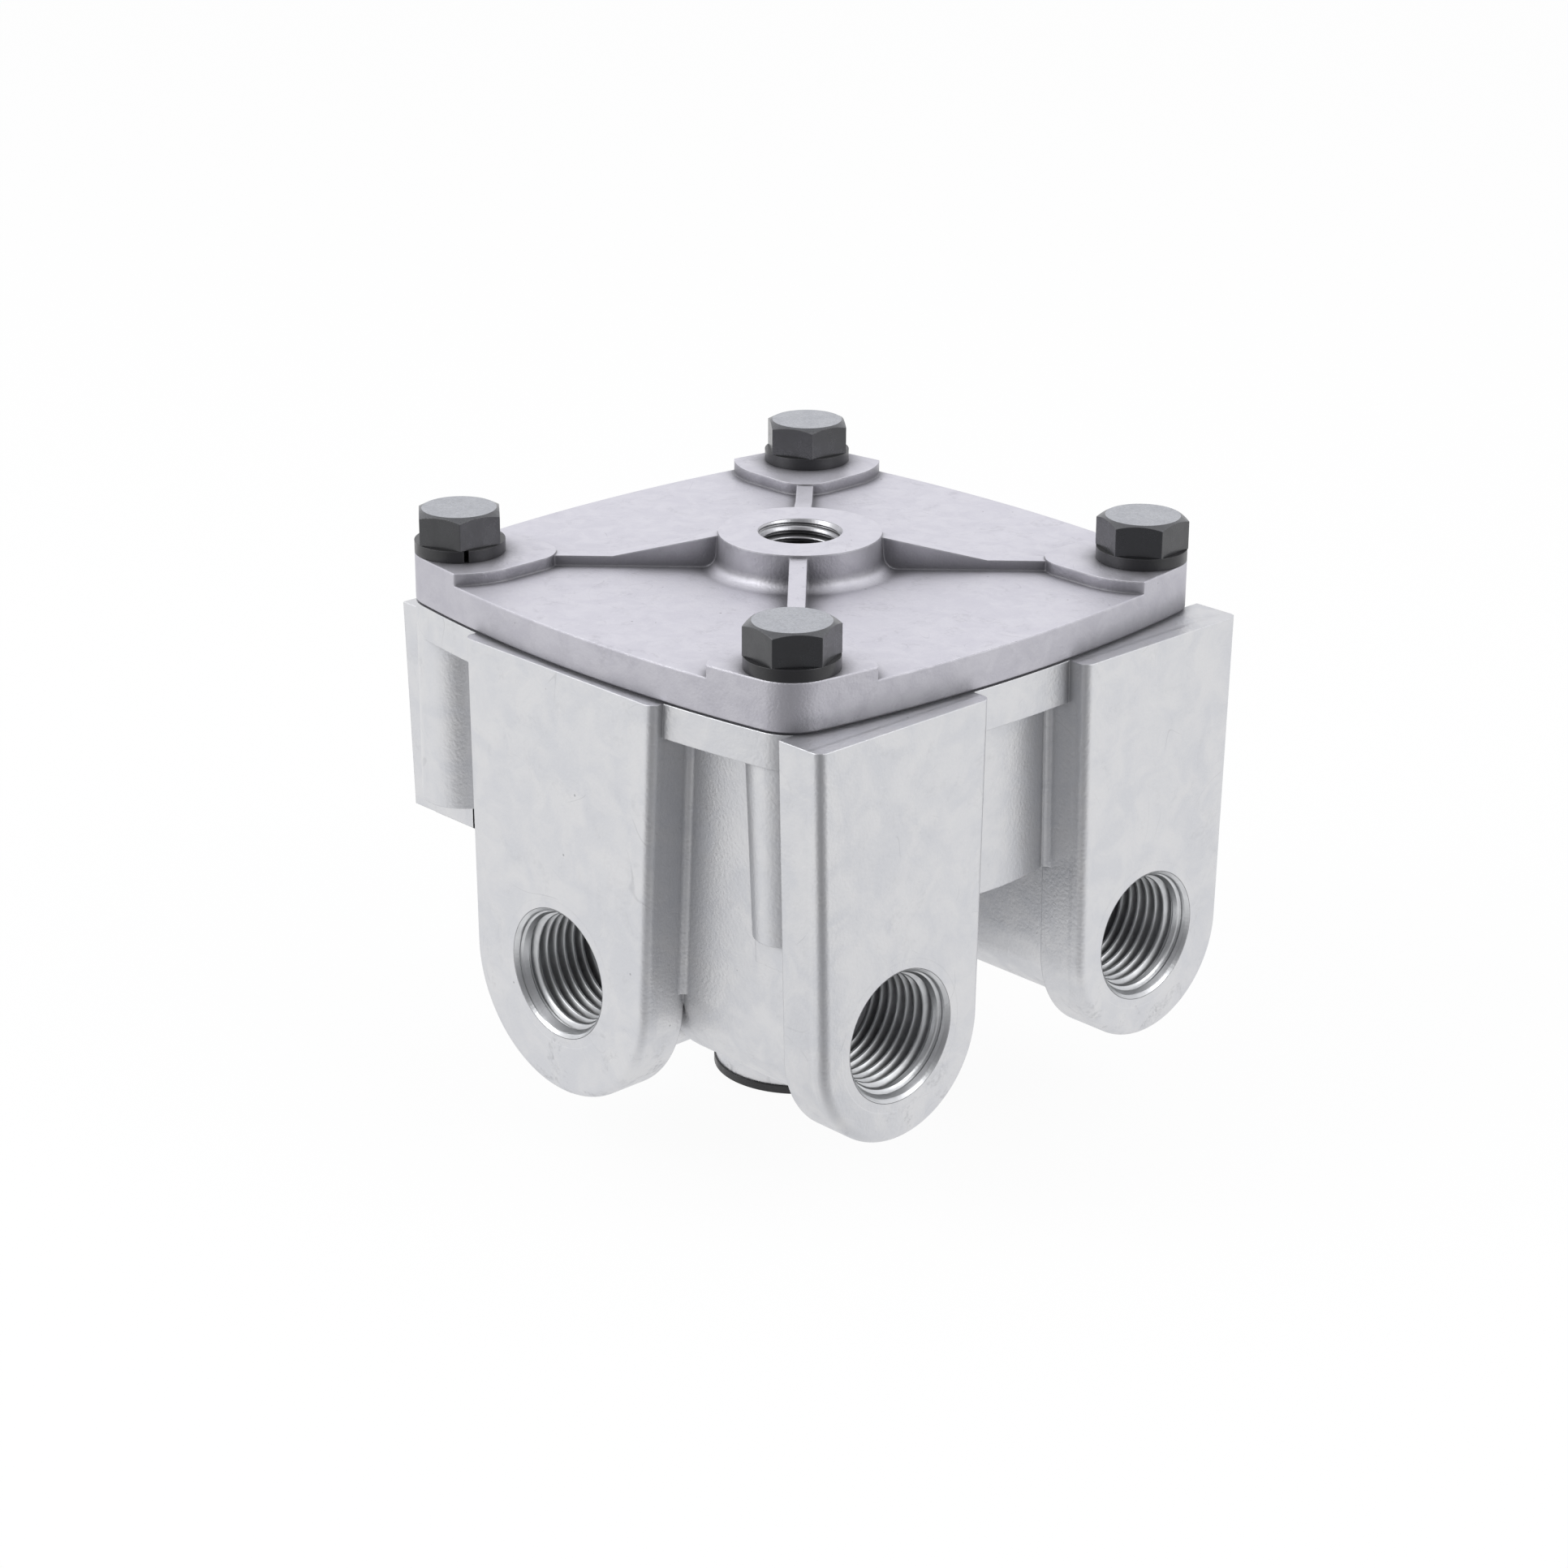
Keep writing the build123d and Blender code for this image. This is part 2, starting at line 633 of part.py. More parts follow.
# Exhaust flap with its washer and screw
with BuildPart() as exhaust_diaphragm:
    with BuildSketch(Plane.XY.offset(spider_z)):
        Circle(flap_r)
        Circle(screw_r + fit_gap, mode=Mode.SUBTRACT)
    extrude(amount=-flap_t)
exhaust_diaphragm.part.label = "exhaust_diaphragm"
export_step(exhaust_diaphragm.part, "parts/exhaust_diaphragm.step")

with BuildPart() as diaphragm_washer:
    with BuildSketch(Plane.XY.offset(spider_z - flap_t)):
        Circle(flap_washer_r)
        Circle(screw_r + fit_gap, mode=Mode.SUBTRACT)
    extrude(amount=-flap_washer_t)
diaphragm_washer.part.label = "diaphragm_washer"
export_step(diaphragm_washer.part, "parts/diaphragm_washer.step")

screw_z = spider_z - flap_t - flap_washer_t
with BuildPart() as diaphragm_screw:
    with BuildSketch(Plane.XY.offset(screw_z)):
        Circle(screw_head_r)
    extrude(amount=-screw_head_h)
    with BuildSketch(Plane.XY.offset(screw_z)):
        Circle(screw_r)
    extrude(amount=spider_z + spider_t - screw_z)
diaphragm_screw.part.label = "diaphragm_screw"
export_step(diaphragm_screw.part, "parts/diaphragm_screw.step")
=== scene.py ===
import math

import bmesh
import bpy
from mathutils import Matrix, Vector

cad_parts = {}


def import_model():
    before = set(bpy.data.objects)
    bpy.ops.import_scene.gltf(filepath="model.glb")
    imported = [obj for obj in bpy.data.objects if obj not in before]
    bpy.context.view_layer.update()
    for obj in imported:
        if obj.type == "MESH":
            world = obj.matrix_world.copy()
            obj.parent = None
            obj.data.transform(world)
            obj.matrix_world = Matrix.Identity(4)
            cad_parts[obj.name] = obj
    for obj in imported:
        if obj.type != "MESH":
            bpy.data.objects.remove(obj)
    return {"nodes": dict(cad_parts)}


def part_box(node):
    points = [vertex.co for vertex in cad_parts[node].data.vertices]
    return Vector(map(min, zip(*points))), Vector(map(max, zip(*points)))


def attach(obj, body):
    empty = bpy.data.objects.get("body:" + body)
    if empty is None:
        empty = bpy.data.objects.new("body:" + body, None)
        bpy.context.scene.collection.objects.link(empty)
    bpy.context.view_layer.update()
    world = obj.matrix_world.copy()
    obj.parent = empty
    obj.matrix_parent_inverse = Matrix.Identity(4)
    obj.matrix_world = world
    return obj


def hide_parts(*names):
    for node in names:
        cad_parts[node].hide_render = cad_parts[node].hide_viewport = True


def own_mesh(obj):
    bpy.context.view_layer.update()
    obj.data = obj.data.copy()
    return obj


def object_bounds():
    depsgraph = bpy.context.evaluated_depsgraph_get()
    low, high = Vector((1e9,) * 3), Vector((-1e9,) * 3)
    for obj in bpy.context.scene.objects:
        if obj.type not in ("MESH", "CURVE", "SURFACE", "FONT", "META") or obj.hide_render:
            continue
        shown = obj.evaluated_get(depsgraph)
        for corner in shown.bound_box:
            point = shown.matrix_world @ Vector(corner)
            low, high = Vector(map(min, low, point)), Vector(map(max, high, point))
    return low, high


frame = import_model()
cad_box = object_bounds()
nodes = frame["nodes"]
MM = 0.001

# The valve's places in millimetres: +Z up its axis, -Y out of the supply port, +X out of the delivery
# ports, and the origin in the middle of the control port's mouth.
JOINT_Z = -12.1
BOLT_REACH = 39.1
SUPPLY_FACE_Y = -51.2
DELIVERY_FACE_X = 53.3
SUPPLY_PORT = (-2.05, SUPPLY_FACE_Y, -63.5)
FRONT_PORT = (DELIVERY_FACE_X, -29.25, -62.6)
REAR_PORT = (DELIVERY_FACE_X, 27.55, -62.6)
CONTROL_PORT = (0, 0, 0)
BLACK = (0.0, 0.0, 0.0)
WHITE = (1.0, 1.0, 1.0)


# Node trees

def add(tree, kind, **sockets):
    """A node of this kind with its input values set, by name or by place in the list."""
    node = tree.nodes.new(kind)
    for name, value in sockets.items():
        if hasattr(node, name) and not isinstance(value, bpy.types.NodeSocket):
            setattr(node, name, value)
            continue
        key = int(name[1:]) if name[0] == "_" and name[1:].isdigit() else name.replace("_", " ")
        if isinstance(value, bpy.types.NodeSocket):
            tree.links.new(value, node.inputs[key])
        else:
            node.inputs[key].default_value = value
    return node


def maths(tree, operation, a, b=None, c=None):
    """One sum of a Math node, and its result's socket."""
    node = tree.nodes.new("ShaderNodeMath")
    node.operation = operation
    for place, value in enumerate((a, b, c)):
        if isinstance(value, bpy.types.NodeSocket):
            tree.links.new(value, node.inputs[place])
        elif value is not None:
            node.inputs[place].default_value = value
    return node.outputs[0]


def vector_maths(tree, operation, a, b=None):
    """A Vector Math node with one or two vectors, each a socket or three numbers."""
    given = {"_0": a} if b is None else {"_0": a, "_1": b}
    return add(tree, "ShaderNodeVectorMath", operation=operation, **given)


def spread(tree, value, low, high, to_low=0.0, to_high=1.0):
    """Value brought smoothly from one range to another."""
    node = tree.nodes.new("ShaderNodeMapRange")
    node.interpolation_type = "SMOOTHSTEP"
    tree.links.new(value, node.inputs["Value"])
    for name, number in (("From Min", low), ("From Max", high), ("To Min", to_low), ("To Max", to_high)):
        node.inputs[name].default_value = number
    return node.outputs["Result"]


def spread_linear(tree, value, low, high):
    """Value between two bounds, brought to the range from 0 to 1 in a straight line."""
    return maths(tree, "MINIMUM", 1.0, maths(tree, "MAXIMUM", 0.0, maths(
        tree, "DIVIDE", maths(tree, "SUBTRACT", value, low), high - low)))


def blend_value(tree, share, a, b):
    """a where share is 0 and b where it is 1."""
    gap = maths(tree, "SUBTRACT", b, a)
    return maths(tree, "MULTIPLY_ADD", share, gap, a)


def mix_colour(tree, share, a, b):
    """Colour a where share is 0 and b where it is 1."""
    node = tree.nodes.new("ShaderNodeMix")
    node.data_type = "RGBA"
    tree.links.new(share, node.inputs[0])
    for place, value in ((6, a), (7, b)):
        if isinstance(value, bpy.types.NodeSocket):
            tree.links.new(value, node.inputs[place])
        else:
            node.inputs[place].default_value = (*value, 1)
    return node.outputs[2]


def toned(tree, tone, mask, share, colour):
    """The tone, brought this share of the way to a colour where the mask is 1."""
    return mix_colour(tree, maths(tree, "MULTIPLY", mask, share), tone, colour)


def scaled(colour, share):
    return [channel * share for channel in colour]


def new_group(name, kind, inputs, outputs):
    """An empty group with named inputs, given as (name, type, value), and named outputs."""
    group = bpy.data.node_groups.new(name, kind)
    for socket_name, socket_type, value in inputs:
        socket = group.interface.new_socket(socket_name, in_out="INPUT", socket_type=socket_type)
        if value is not None:
            socket.default_value = value
    for socket_name, socket_type in outputs:
        group.interface.new_socket(socket_name, in_out="OUTPUT", socket_type=socket_type)
    return group, group.nodes.new("NodeGroupInput").outputs, group.nodes.new("NodeGroupOutput").inputs


def object_place(tree):
    return tree.nodes.new("ShaderNodeTexCoord").outputs["Object"]


def object_normal_z(tree):
    """How far the surface faces up, from -1 to 1."""
    normal = tree.nodes.new("ShaderNodeTexCoord").outputs["Normal"]
    return add(tree, "ShaderNodeSeparateXYZ", _0=normal).outputs[2]


# Shader groups that several finishes share. Their sizes are in millimetres.

def texture_scale(group, size):
    """Scale of a texture on Object coordinates whose features have this size."""
    return maths(group, "DIVIDE", 1000.0, size)


def cast_skin_group():
    """A casting's skin: grain, mottling, stains and rounded edges, and masks of edges, hollows and sides."""
    group, given, out = new_group(
        "cast skin", "ShaderNodeTree",
        [("Grain Size", "NodeSocketFloat", 0.5), ("Grain Depth", "NodeSocketFloat", 0.05),
         ("Edge Radius", "NodeSocketFloat", 0.5), ("Mottle Size", "NodeSocketFloat", 9.0),
         ("Hollow Reach", "NodeSocketFloat", 6.0)],
        [("Normal", "NodeSocketVector"), ("Edge", "NodeSocketFloat"), ("Mottle", "NodeSocketFloat"),
         ("Grain", "NodeSocketFloat"), ("Stain", "NodeSocketFloat"), ("Hollow", "NodeSocketFloat"),
         ("Upright", "NodeSocketFloat")])
    pebble_share, patch_share, speck_share = -0.35, 0.7, 0.8
    mottle_band, patch_band, speck_band = (0.3, 0.7), (0.52, 0.68), (0.35, 0.62)
    rubbed_cosine, open_air, steepness = (0.995, 0.86), (0.96, 0.50), (0.75, 0.35)
    place = object_place(group)
    grain_scale = texture_scale(group, given["Grain Size"])
    grain = add(group, "ShaderNodeTexNoise", Vector=place, Scale=grain_scale, Detail=3.0, Roughness=0.55)
    pebbles = add(group, "ShaderNodeTexVoronoi", Vector=place, Scale=grain_scale)
    skin = maths(group, "MULTIPLY_ADD", pebbles.outputs["Distance"], pebble_share, grain.outputs["Fac"])
    mottle_scale = texture_scale(group, given["Mottle Size"])
    mottle = add(group, "ShaderNodeTexNoise", Vector=place, Scale=mottle_scale, Detail=5.0, Roughness=0.6,
                 Distortion=0.6)
    patch_scale = maths(group, "MULTIPLY", mottle_scale, patch_share)
    patches = add(group, "ShaderNodeTexNoise", Vector=place, Scale=patch_scale, Detail=6.0, Roughness=0.7,
                  Distortion=1.2)
    speck_scale = maths(group, "MULTIPLY", grain_scale, speck_share)
    specks = add(group, "ShaderNodeTexNoise", Vector=place, Scale=speck_scale, Detail=2.0)
    stain = maths(group, "MULTIPLY", spread(group, patches.outputs["Fac"], *patch_band),
                  spread(group, specks.outputs["Fac"], *speck_band))
    rounded = add(group, "ShaderNodeBevel", samples=6,
                  Radius=maths(group, "MULTIPLY", given["Edge Radius"], MM))
    flat = group.nodes.new("ShaderNodeNewGeometry").outputs["Normal"]
    alike = vector_maths(group, "DOT_PRODUCT", rounded.outputs[0], flat)
    grain_depth = maths(group, "MULTIPLY", given["Grain Depth"], MM)
    bump = add(group, "ShaderNodeBump", Strength=1.0, Distance=grain_depth, Height=skin,
               Normal=rounded.outputs[0])
    # Ambient occlusion, whose Hollow mask the finishes use to paint shade into corners and holes.
    sheltered = add(group, "ShaderNodeAmbientOcclusion", samples=8,
                    Distance=maths(group, "MULTIPLY", given["Hollow Reach"], MM))
    results = {
        "Normal": bump.outputs[0],
        "Edge": spread(group, alike.outputs["Value"], *rubbed_cosine),
        "Mottle": spread(group, mottle.outputs["Fac"], *mottle_band),
        "Grain": skin,
        "Stain": stain,
        "Hollow": spread(group, sheltered.outputs["AO"], *open_air),
        "Upright": spread(group, maths(group, "ABSOLUTE", object_normal_z(group)), *steepness),
    }
    for socket, source in results.items():
        group.links.new(source, out[socket])
    return group


def turned_marks_group():
    """Fine rings left by a lathe about the valve's axis, as a height from -1 to 1."""
    group, given, out = new_group("turned marks", "ShaderNodeTree", [("Pitch", "NodeSocketFloat", 0.25)],
                                  [("Height", "NodeSocketFloat")])
    feed_down = 0.7
    parts = add(group, "ShaderNodeSeparateXYZ", _0=object_place(group))
    radius = maths(group, "SQRT", maths(group, "ADD", maths(group, "POWER", parts.outputs[0], 2.0),
                                        maths(group, "POWER", parts.outputs[1], 2.0)))
    way = maths(group, "ADD", radius, maths(group, "MULTIPLY", parts.outputs[2], feed_down))
    turns = maths(group, "DIVIDE", way, maths(group, "MULTIPLY", given["Pitch"], MM))
    ridges = maths(group, "SINE", maths(group, "MULTIPLY", turns, math.tau))
    group.links.new(ridges, out["Height"])
    return group


def spot_ring_group():
    """Faint step that a spot-facing cutter leaves round a bore, as a height from 0 to 1."""
    group, given, out = new_group(
        "spot ring", "ShaderNodeTree",
        [("Centre", "NodeSocketVector", None), ("Axis", "NodeSocketVector", None),
         ("Radius", "NodeSocketFloat", 12.6)],
        [("Height", "NodeSocketFloat")])
    step_half, near_face = 0.12, (3.0 * MM, 2.0 * MM)
    reach = vector_maths(group, "SUBTRACT", object_place(group), given["Centre"])
    along = vector_maths(group, "DOT_PRODUCT", reach.outputs[0], given["Axis"]).outputs["Value"]
    straight = add(group, "ShaderNodeVectorMath", operation="SCALE", _0=given["Axis"], Scale=along)
    across = vector_maths(group, "SUBTRACT", reach.outputs[0], straight.outputs[0])
    length = vector_maths(group, "LENGTH", across.outputs[0])
    radius = maths(group, "DIVIDE", length.outputs["Value"], MM)
    step = spread(group, maths(group, "SUBTRACT", radius, given["Radius"]), -step_half, step_half)
    near = spread(group, maths(group, "ABSOLUTE", along), *near_face)
    group.links.new(maths(group, "MULTIPLY", step, near), out["Height"])
    return group


def handling_marks_group():
    """Scattered small pits, and hairline scratches in a few patches, each from 0 to 1."""
    group, given, out = new_group(
        "handling marks", "ShaderNodeTree",
        [("Pit Spacing", "NodeSocketFloat", 3.2), ("Pit Radius", "NodeSocketFloat", 0.22),
         ("Scratch Size", "NodeSocketFloat", 22.0)],
        [("Pits", "NodeSocketFloat"), ("Scratches", "NodeSocketFloat")])
    pit_rim, bare_share = 0.06, 0.72
    lines_a_swing, line_edges, patch_share, patch_band = 9.0, (0.022, 0.004), 2.3, (0.56, 0.66)
    place = object_place(group)
    cells = add(group, "ShaderNodeTexVoronoi", Vector=place, Scale=texture_scale(group, given["Pit Spacing"]))
    chance = add(group, "ShaderNodeSeparateColor", _0=cells.outputs["Color"])
    away = maths(group, "MULTIPLY", cells.outputs["Distance"], given["Pit Spacing"])
    reach = maths(group, "MULTIPLY", given["Pit Radius"], chance.outputs[1])
    spot = spread(group, maths(group, "SUBTRACT", away, reach), pit_rim, -pit_rim)
    pitted = maths(group, "GREATER_THAN", chance.outputs[0], bare_share)
    group.links.new(maths(group, "MULTIPLY", spot, pitted), out["Pits"])
    scratch_scale = texture_scale(group, given["Scratch Size"])
    sweep = add(group, "ShaderNodeTexNoise", Vector=place, Scale=scratch_scale, Detail=1.0, Distortion=0.8)
    swing = maths(group, "FRACT", maths(group, "MULTIPLY", sweep.outputs["Fac"], lines_a_swing))
    line = maths(group, "ABSOLUTE", maths(group, "SUBTRACT", swing, 0.5))
    patch_scale = maths(group, "MULTIPLY", scratch_scale, patch_share)
    patch = add(group, "ShaderNodeTexNoise", Vector=place, Scale=patch_scale, Detail=2.0)
    group.links.new(maths(group, "MULTIPLY", spread(group, line, *line_edges),
                          spread(group, patch.outputs["Fac"], *patch_band)), out["Scratches"])
    return group


cast_skin = cast_skin_group()
handling_marks = handling_marks_group()
turned_marks = turned_marks_group()
spot_ring = spot_ring_group()


# Materials

def new_material(name):
    material = bpy.data.materials.new(name)
    material.use_nodes = True
    tree = material.node_tree
    return material, tree, tree.nodes["Principled BSDF"]


def place_group(tree, group, **values):
    node = tree.nodes.new("ShaderNodeGroup")
    node.node_tree = group
    for name, value in values.items():
        node.inputs[name.replace("_", " ")].default_value = value
    return node.outputs


def cast_metal(name, dark, light, rub, rough, grain_size, grain_depth, edge_radius, mottle_size,
               stain=0.0, painted_hollow_shade=0.0, reach=6.0, sides=0.0, painted_boss_shade=0.0, feet=0.0, rings=()):
    """Die-cast or cut aluminium: faintly mottled, stained in patches, pitted and scratched here and there,
    and a little brighter where its edges are rubbed.

    hollow is painted shade in corners and holes within reach, sides is painted shade on the upright walls,
    boss is painted shade on the walls round the control port, and feet is how many times stronger the stains
    are at the ears' feet."""
    rubbed_share, pit_share, scratch_share = 0.15, 0.45, 0.22
    # stain_tone is the colour of real stains; hollow_shade_tone is the colour of the painted shade in corners
    # and holes.
    stain_tone, hollow_shade_tone = scaled(dark, 0.55), scaled(dark, 0.12)
    pit_tone, scratch_tone = scaled(dark, 0.2), scaled(dark, 0.5)
    boss_edge, feet_height, rough_swing = (16.5 * MM, 14.0 * MM), (-66.0 * MM, -78.0 * MM), 0.03
    ring_strength, ring_step = 0.5, 0.08 * MM
    material, tree, bsdf = new_material(name)
    skin = place_group(tree, cast_skin, Grain_Size=grain_size, Grain_Depth=grain_depth,
                       Edge_Radius=edge_radius, Mottle_Size=mottle_size, Hollow_Reach=reach)
    tone = mix_colour(tree, skin["Mottle"], dark, light)
    # Painted shade on upright walls.
    if sides:
        tone = toned(tree, tone, skin["Upright"], sides, BLACK)
    tone = toned(tree, tone, skin["Edge"], rubbed_share, rub)
    # Painted shade on the upright walls round the control port.
    if painted_boss_shade:
        across = vector_maths(tree, "MULTIPLY", object_place(tree), (1.0, 1.0, 0.0))
        away = vector_maths(tree, "LENGTH", across.outputs[0])
        near = spread(tree, away.outputs["Value"], *boss_edge)
        tone = toned(tree, tone, maths(tree, "MULTIPLY", near, skin["Upright"]), painted_boss_shade, BLACK)
    soiled = maths(tree, "MULTIPLY", skin["Stain"], stain)
    if feet:
        height = add(tree, "ShaderNodeSeparateXYZ", _0=object_place(tree))
        soiled = maths(tree, "MULTIPLY", soiled, spread(tree, height.outputs[2], *feet_height, 1.0, feet))
    tone = mix_colour(tree, soiled, tone, stain_tone)
    # Painted shade in corners and holes, where the ambient occlusion mask is high.
    if painted_hollow_shade:
        tone = toned(tree, tone, skin["Hollow"], painted_hollow_shade, hollow_shade_tone)
    marks = place_group(tree, handling_marks)
    tone = toned(tree, tone, marks["Pits"], pit_share, pit_tone)
    tone = toned(tree, tone, marks["Scratches"], scratch_share, scratch_tone)
    normal = skin["Normal"]
    for centre, axis, radius in rings:
        mark = place_group(tree, spot_ring, Centre=scaled(centre, MM), Axis=axis, Radius=radius)
        step = add(tree, "ShaderNodeBump", Strength=ring_strength, Distance=ring_step,
                   Height=mark["Height"], Normal=normal)
        normal = step.outputs[0]
    tree.links.new(tone, bsdf.inputs["Base Color"])
    bsdf.inputs["Metallic"].default_value = 1.0
    tree.links.new(spread(tree, skin["Mottle"], 0.0, 1.0, rough + rough_swing, rough - rough_swing),
                   bsdf.inputs["Roughness"])
    tree.links.new(normal, bsdf.inputs["Normal"])
    return material


def turned_metal(name, colour, rough, pitch=0.25):
    """Metal turned or drawn smooth, with fine tool marks about the valve's axis."""
    shade_share, shine_share, mark_strength, mark_height = 0.86, 1.15, 0.25, 0.01 * MM
    duller, brighter = 0.06, 0.04
    material, tree, bsdf = new_material(name)
    skin = place_group(tree, cast_skin, Grain_Size=1.2, Grain_Depth=0.004, Edge_Radius=0.15, Mottle_Size=5.0)
    marks = place_group(tree, turned_marks, Pitch=pitch)
    bump = add(tree, "ShaderNodeBump", Strength=mark_strength, Distance=mark_height, Height=marks["Height"],
               Normal=skin["Normal"])
    shade = mix_colour(tree, skin["Mottle"], scaled(colour, shade_share), colour)
    shine = [min(1, channel) for channel in scaled(colour, shine_share)]
    tree.links.new(mix_colour(tree, skin["Edge"], shade, shine), bsdf.inputs["Base Color"])
    bsdf.inputs["Metallic"].default_value = 1.0
    tree.links.new(spread(tree, skin["Mottle"], 0.0, 1.0, rough + duller, rough - brighter),
                   bsdf.inputs["Roughness"])
    tree.links.new(bump.outputs[0], bsdf.inputs["Normal"])
    return material


def dark_skin(name, colour, rubbed, rough, grain_size, grain_depth, edge_radius, ior=1.5, coat=0.0,
              top=None):
    """Black oxide, rubber or moulded plastic: dark, grained and lighter on rubbed edges; with top, faces that
    point up are painted lighter and more metallic, a painted highlight.
    """
    shade_share, rubbed_share, top_metal, coat_share = 0.75, 0.6, 0.8, 0.6
    facing_up, top_highlight_grain, top_highlight_least = (0.86, 0.97), (0.1, 0.5), 0.75
    duller, brighter = 0.08, 0.05
    material, tree, bsdf = new_material(name)
    skin = place_group(tree, cast_skin, Grain_Size=grain_size, Grain_Depth=grain_depth,
                       Edge_Radius=edge_radius, Mottle_Size=3.0)
    shade = mix_colour(tree, skin["Mottle"], scaled(colour, shade_share), colour)
    shade = toned(tree, shade, skin["Edge"], rubbed_share, rubbed)
    # Painted highlight: faces that point up are made lighter and more metallic, a little patchy with the
    # grain.
    if top:
        painted_top_highlight = maths(tree, "MULTIPLY", spread(tree, object_normal_z(tree), *facing_up),
                        spread(tree, skin["Grain"], *top_highlight_grain, top_highlight_least, 1.0))
        shade = mix_colour(tree, painted_top_highlight, shade, top)
        tree.links.new(maths(tree, "MULTIPLY", painted_top_highlight, top_metal), bsdf.inputs["Metallic"])
    tree.links.new(shade, bsdf.inputs["Base Color"])
    bsdf.inputs["IOR"].default_value = ior
    bsdf.inputs["Coat Weight"].default_value = coat
    bsdf.inputs["Coat Roughness"].default_value = rough * coat_share
    tree.links.new(spread(tree, skin["Mottle"], 0.0, 1.0, rough + duller, rough - brighter),
                   bsdf.inputs["Roughness"])
    tree.links.new(skin["Normal"], bsdf.inputs["Normal"])
    return material


spot_face_r = 12.5
port_rings = [(FRONT_PORT, (1, 0, 0), spot_face_r), (REAR_PORT, (1, 0, 0), spot_face_r),
              (SUPPLY_PORT, (0, 1, 0), spot_face_r)]
# The body's hollow is painted shade in its corners and under the cover's rim.
body_cast = cast_metal(
    "body casting", dark=(0.675, 0.683, 0.705), light=(0.73, 0.731, 0.738), rub=(0.83, 0.84, 0.85),
    rough=0.42, grain_size=0.6, grain_depth=0.05, edge_radius=0.25, mottle_size=6.0, stain=0.12, painted_hollow_shade=0.35,
    reach=2.0, feet=4.5, rings=port_rings)
# The cover's hollow, sides and boss are painted shade: in its corners, on its upright walls and round the
# control port.
cover_cast = cast_metal(
    "cover casting", dark=(0.70, 0.69, 0.745), light=(0.75, 0.74, 0.79), rub=(0.80, 0.80, 0.84),
    rough=0.54, grain_size=0.5, grain_depth=0.05, edge_radius=0.5, mottle_size=4.0, stain=0.22, painted_hollow_shade=0.70,
    sides=0.22, painted_boss_shade=0.30)
# The threads' hollow is a little painted shade deep in the threads.
thread_cut = cast_metal(
    "cut thread", dark=(0.60, 0.61, 0.62), light=(0.68, 0.69, 0.70), rub=(0.80, 0.81, 0.82),
    rough=0.34, grain_size=0.6, grain_depth=0.004, edge_radius=0.12, mottle_size=3.0, painted_hollow_shade=0.15, reach=9.0)
# The control port's thread: the same cut metal as the other threads, painted darker for the shade in its
# hole, with strong painted shade in its hollows.
control_thread_painted_shade = cast_metal(
    "cut control thread", dark=(0.50, 0.50, 0.52), light=(0.58, 0.58, 0.60), rub=(0.70, 0.70, 0.72),
    rough=0.40, grain_size=0.6, grain_depth=0.004, edge_radius=0.12, mottle_size=3.0, painted_hollow_shade=0.7, reach=5.0)
# The bolt heads' tops get a painted highlight from top.
black_oxide = dark_skin(
    "black oxide", colour=(0.018, 0.019, 0.022), rubbed=(0.07, 0.07, 0.075), rough=0.3, grain_size=0.4,
    grain_depth=0.012, edge_radius=0.25, ior=1.6, coat=0.3, top=(0.41, 0.425, 0.46))
washer_black = dark_skin(
    "washer black", colour=(0.014, 0.014, 0.016), rubbed=(0.05, 0.05, 0.055), rough=0.34, grain_size=0.4,
    grain_depth=0.012, edge_radius=0.2, coat=0.2)
seal_rubber = dark_skin(
    "seal rubber", colour=(0.022, 0.022, 0.023), rubbed=(0.05, 0.05, 0.05), rough=0.55, grain_size=0.35,
    grain_depth=0.01, edge_radius=0.1)
moulded_black = dark_skin(
    "moulded black", colour=(0.025, 0.025, 0.026), rubbed=(0.07, 0.07, 0.07), rough=0.38, grain_size=0.5,
    grain_depth=0.008, edge_radius=0.2)
turned_aluminium = turned_metal("turned aluminium", (0.74, 0.745, 0.75), rough=0.3)
turned_brass = turned_metal("turned brass", (0.72, 0.52, 0.24), rough=0.26)
spring_wire = turned_metal("spring wire", (0.42, 0.42, 0.43), rough=0.3, pitch=0.6)

finish_of = {
    body_cast: ["body"],
    cover_cast: ["cover"],
    black_oxide: ["cover_bolts"],
    washer_black: ["lock_washers"],
    turned_aluminium: ["relay_piston"],
    turned_brass: ["valve_tube", "valve_guide"],
    spring_wire: ["spring_washer", "guide_retainer", "diaphragm_washer", "diaphragm_screw"],
    seal_rubber: ["valve_seat_rubber", "exhaust_diaphragm"],
    moulded_black: ["exhaust_cover"],
}
for material, names in finish_of.items():
    for name in names:
        nodes[name].data.materials.clear()
        nodes[name].data.materials.append(material)


# Threads, springs and rings, each grown by a geometry node tree

def show(name, mesh, body, replaced=()):
    """Puts a finished mesh in the scene as a piece of a body, in place of the CAD nodes named."""
    mesh.name = name
    piece = bpy.data.objects.new(name, mesh)
    bpy.context.scene.collection.objects.link(piece)
    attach(piece, body)
    if replaced:
        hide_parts(*replaced)
    return piece


def input_of(tree, name):
    """Identifier of a tree's input."""
    return next(item.identifier for item in tree.interface.items_tree
                if item.name == name and item.in_out == "INPUT")


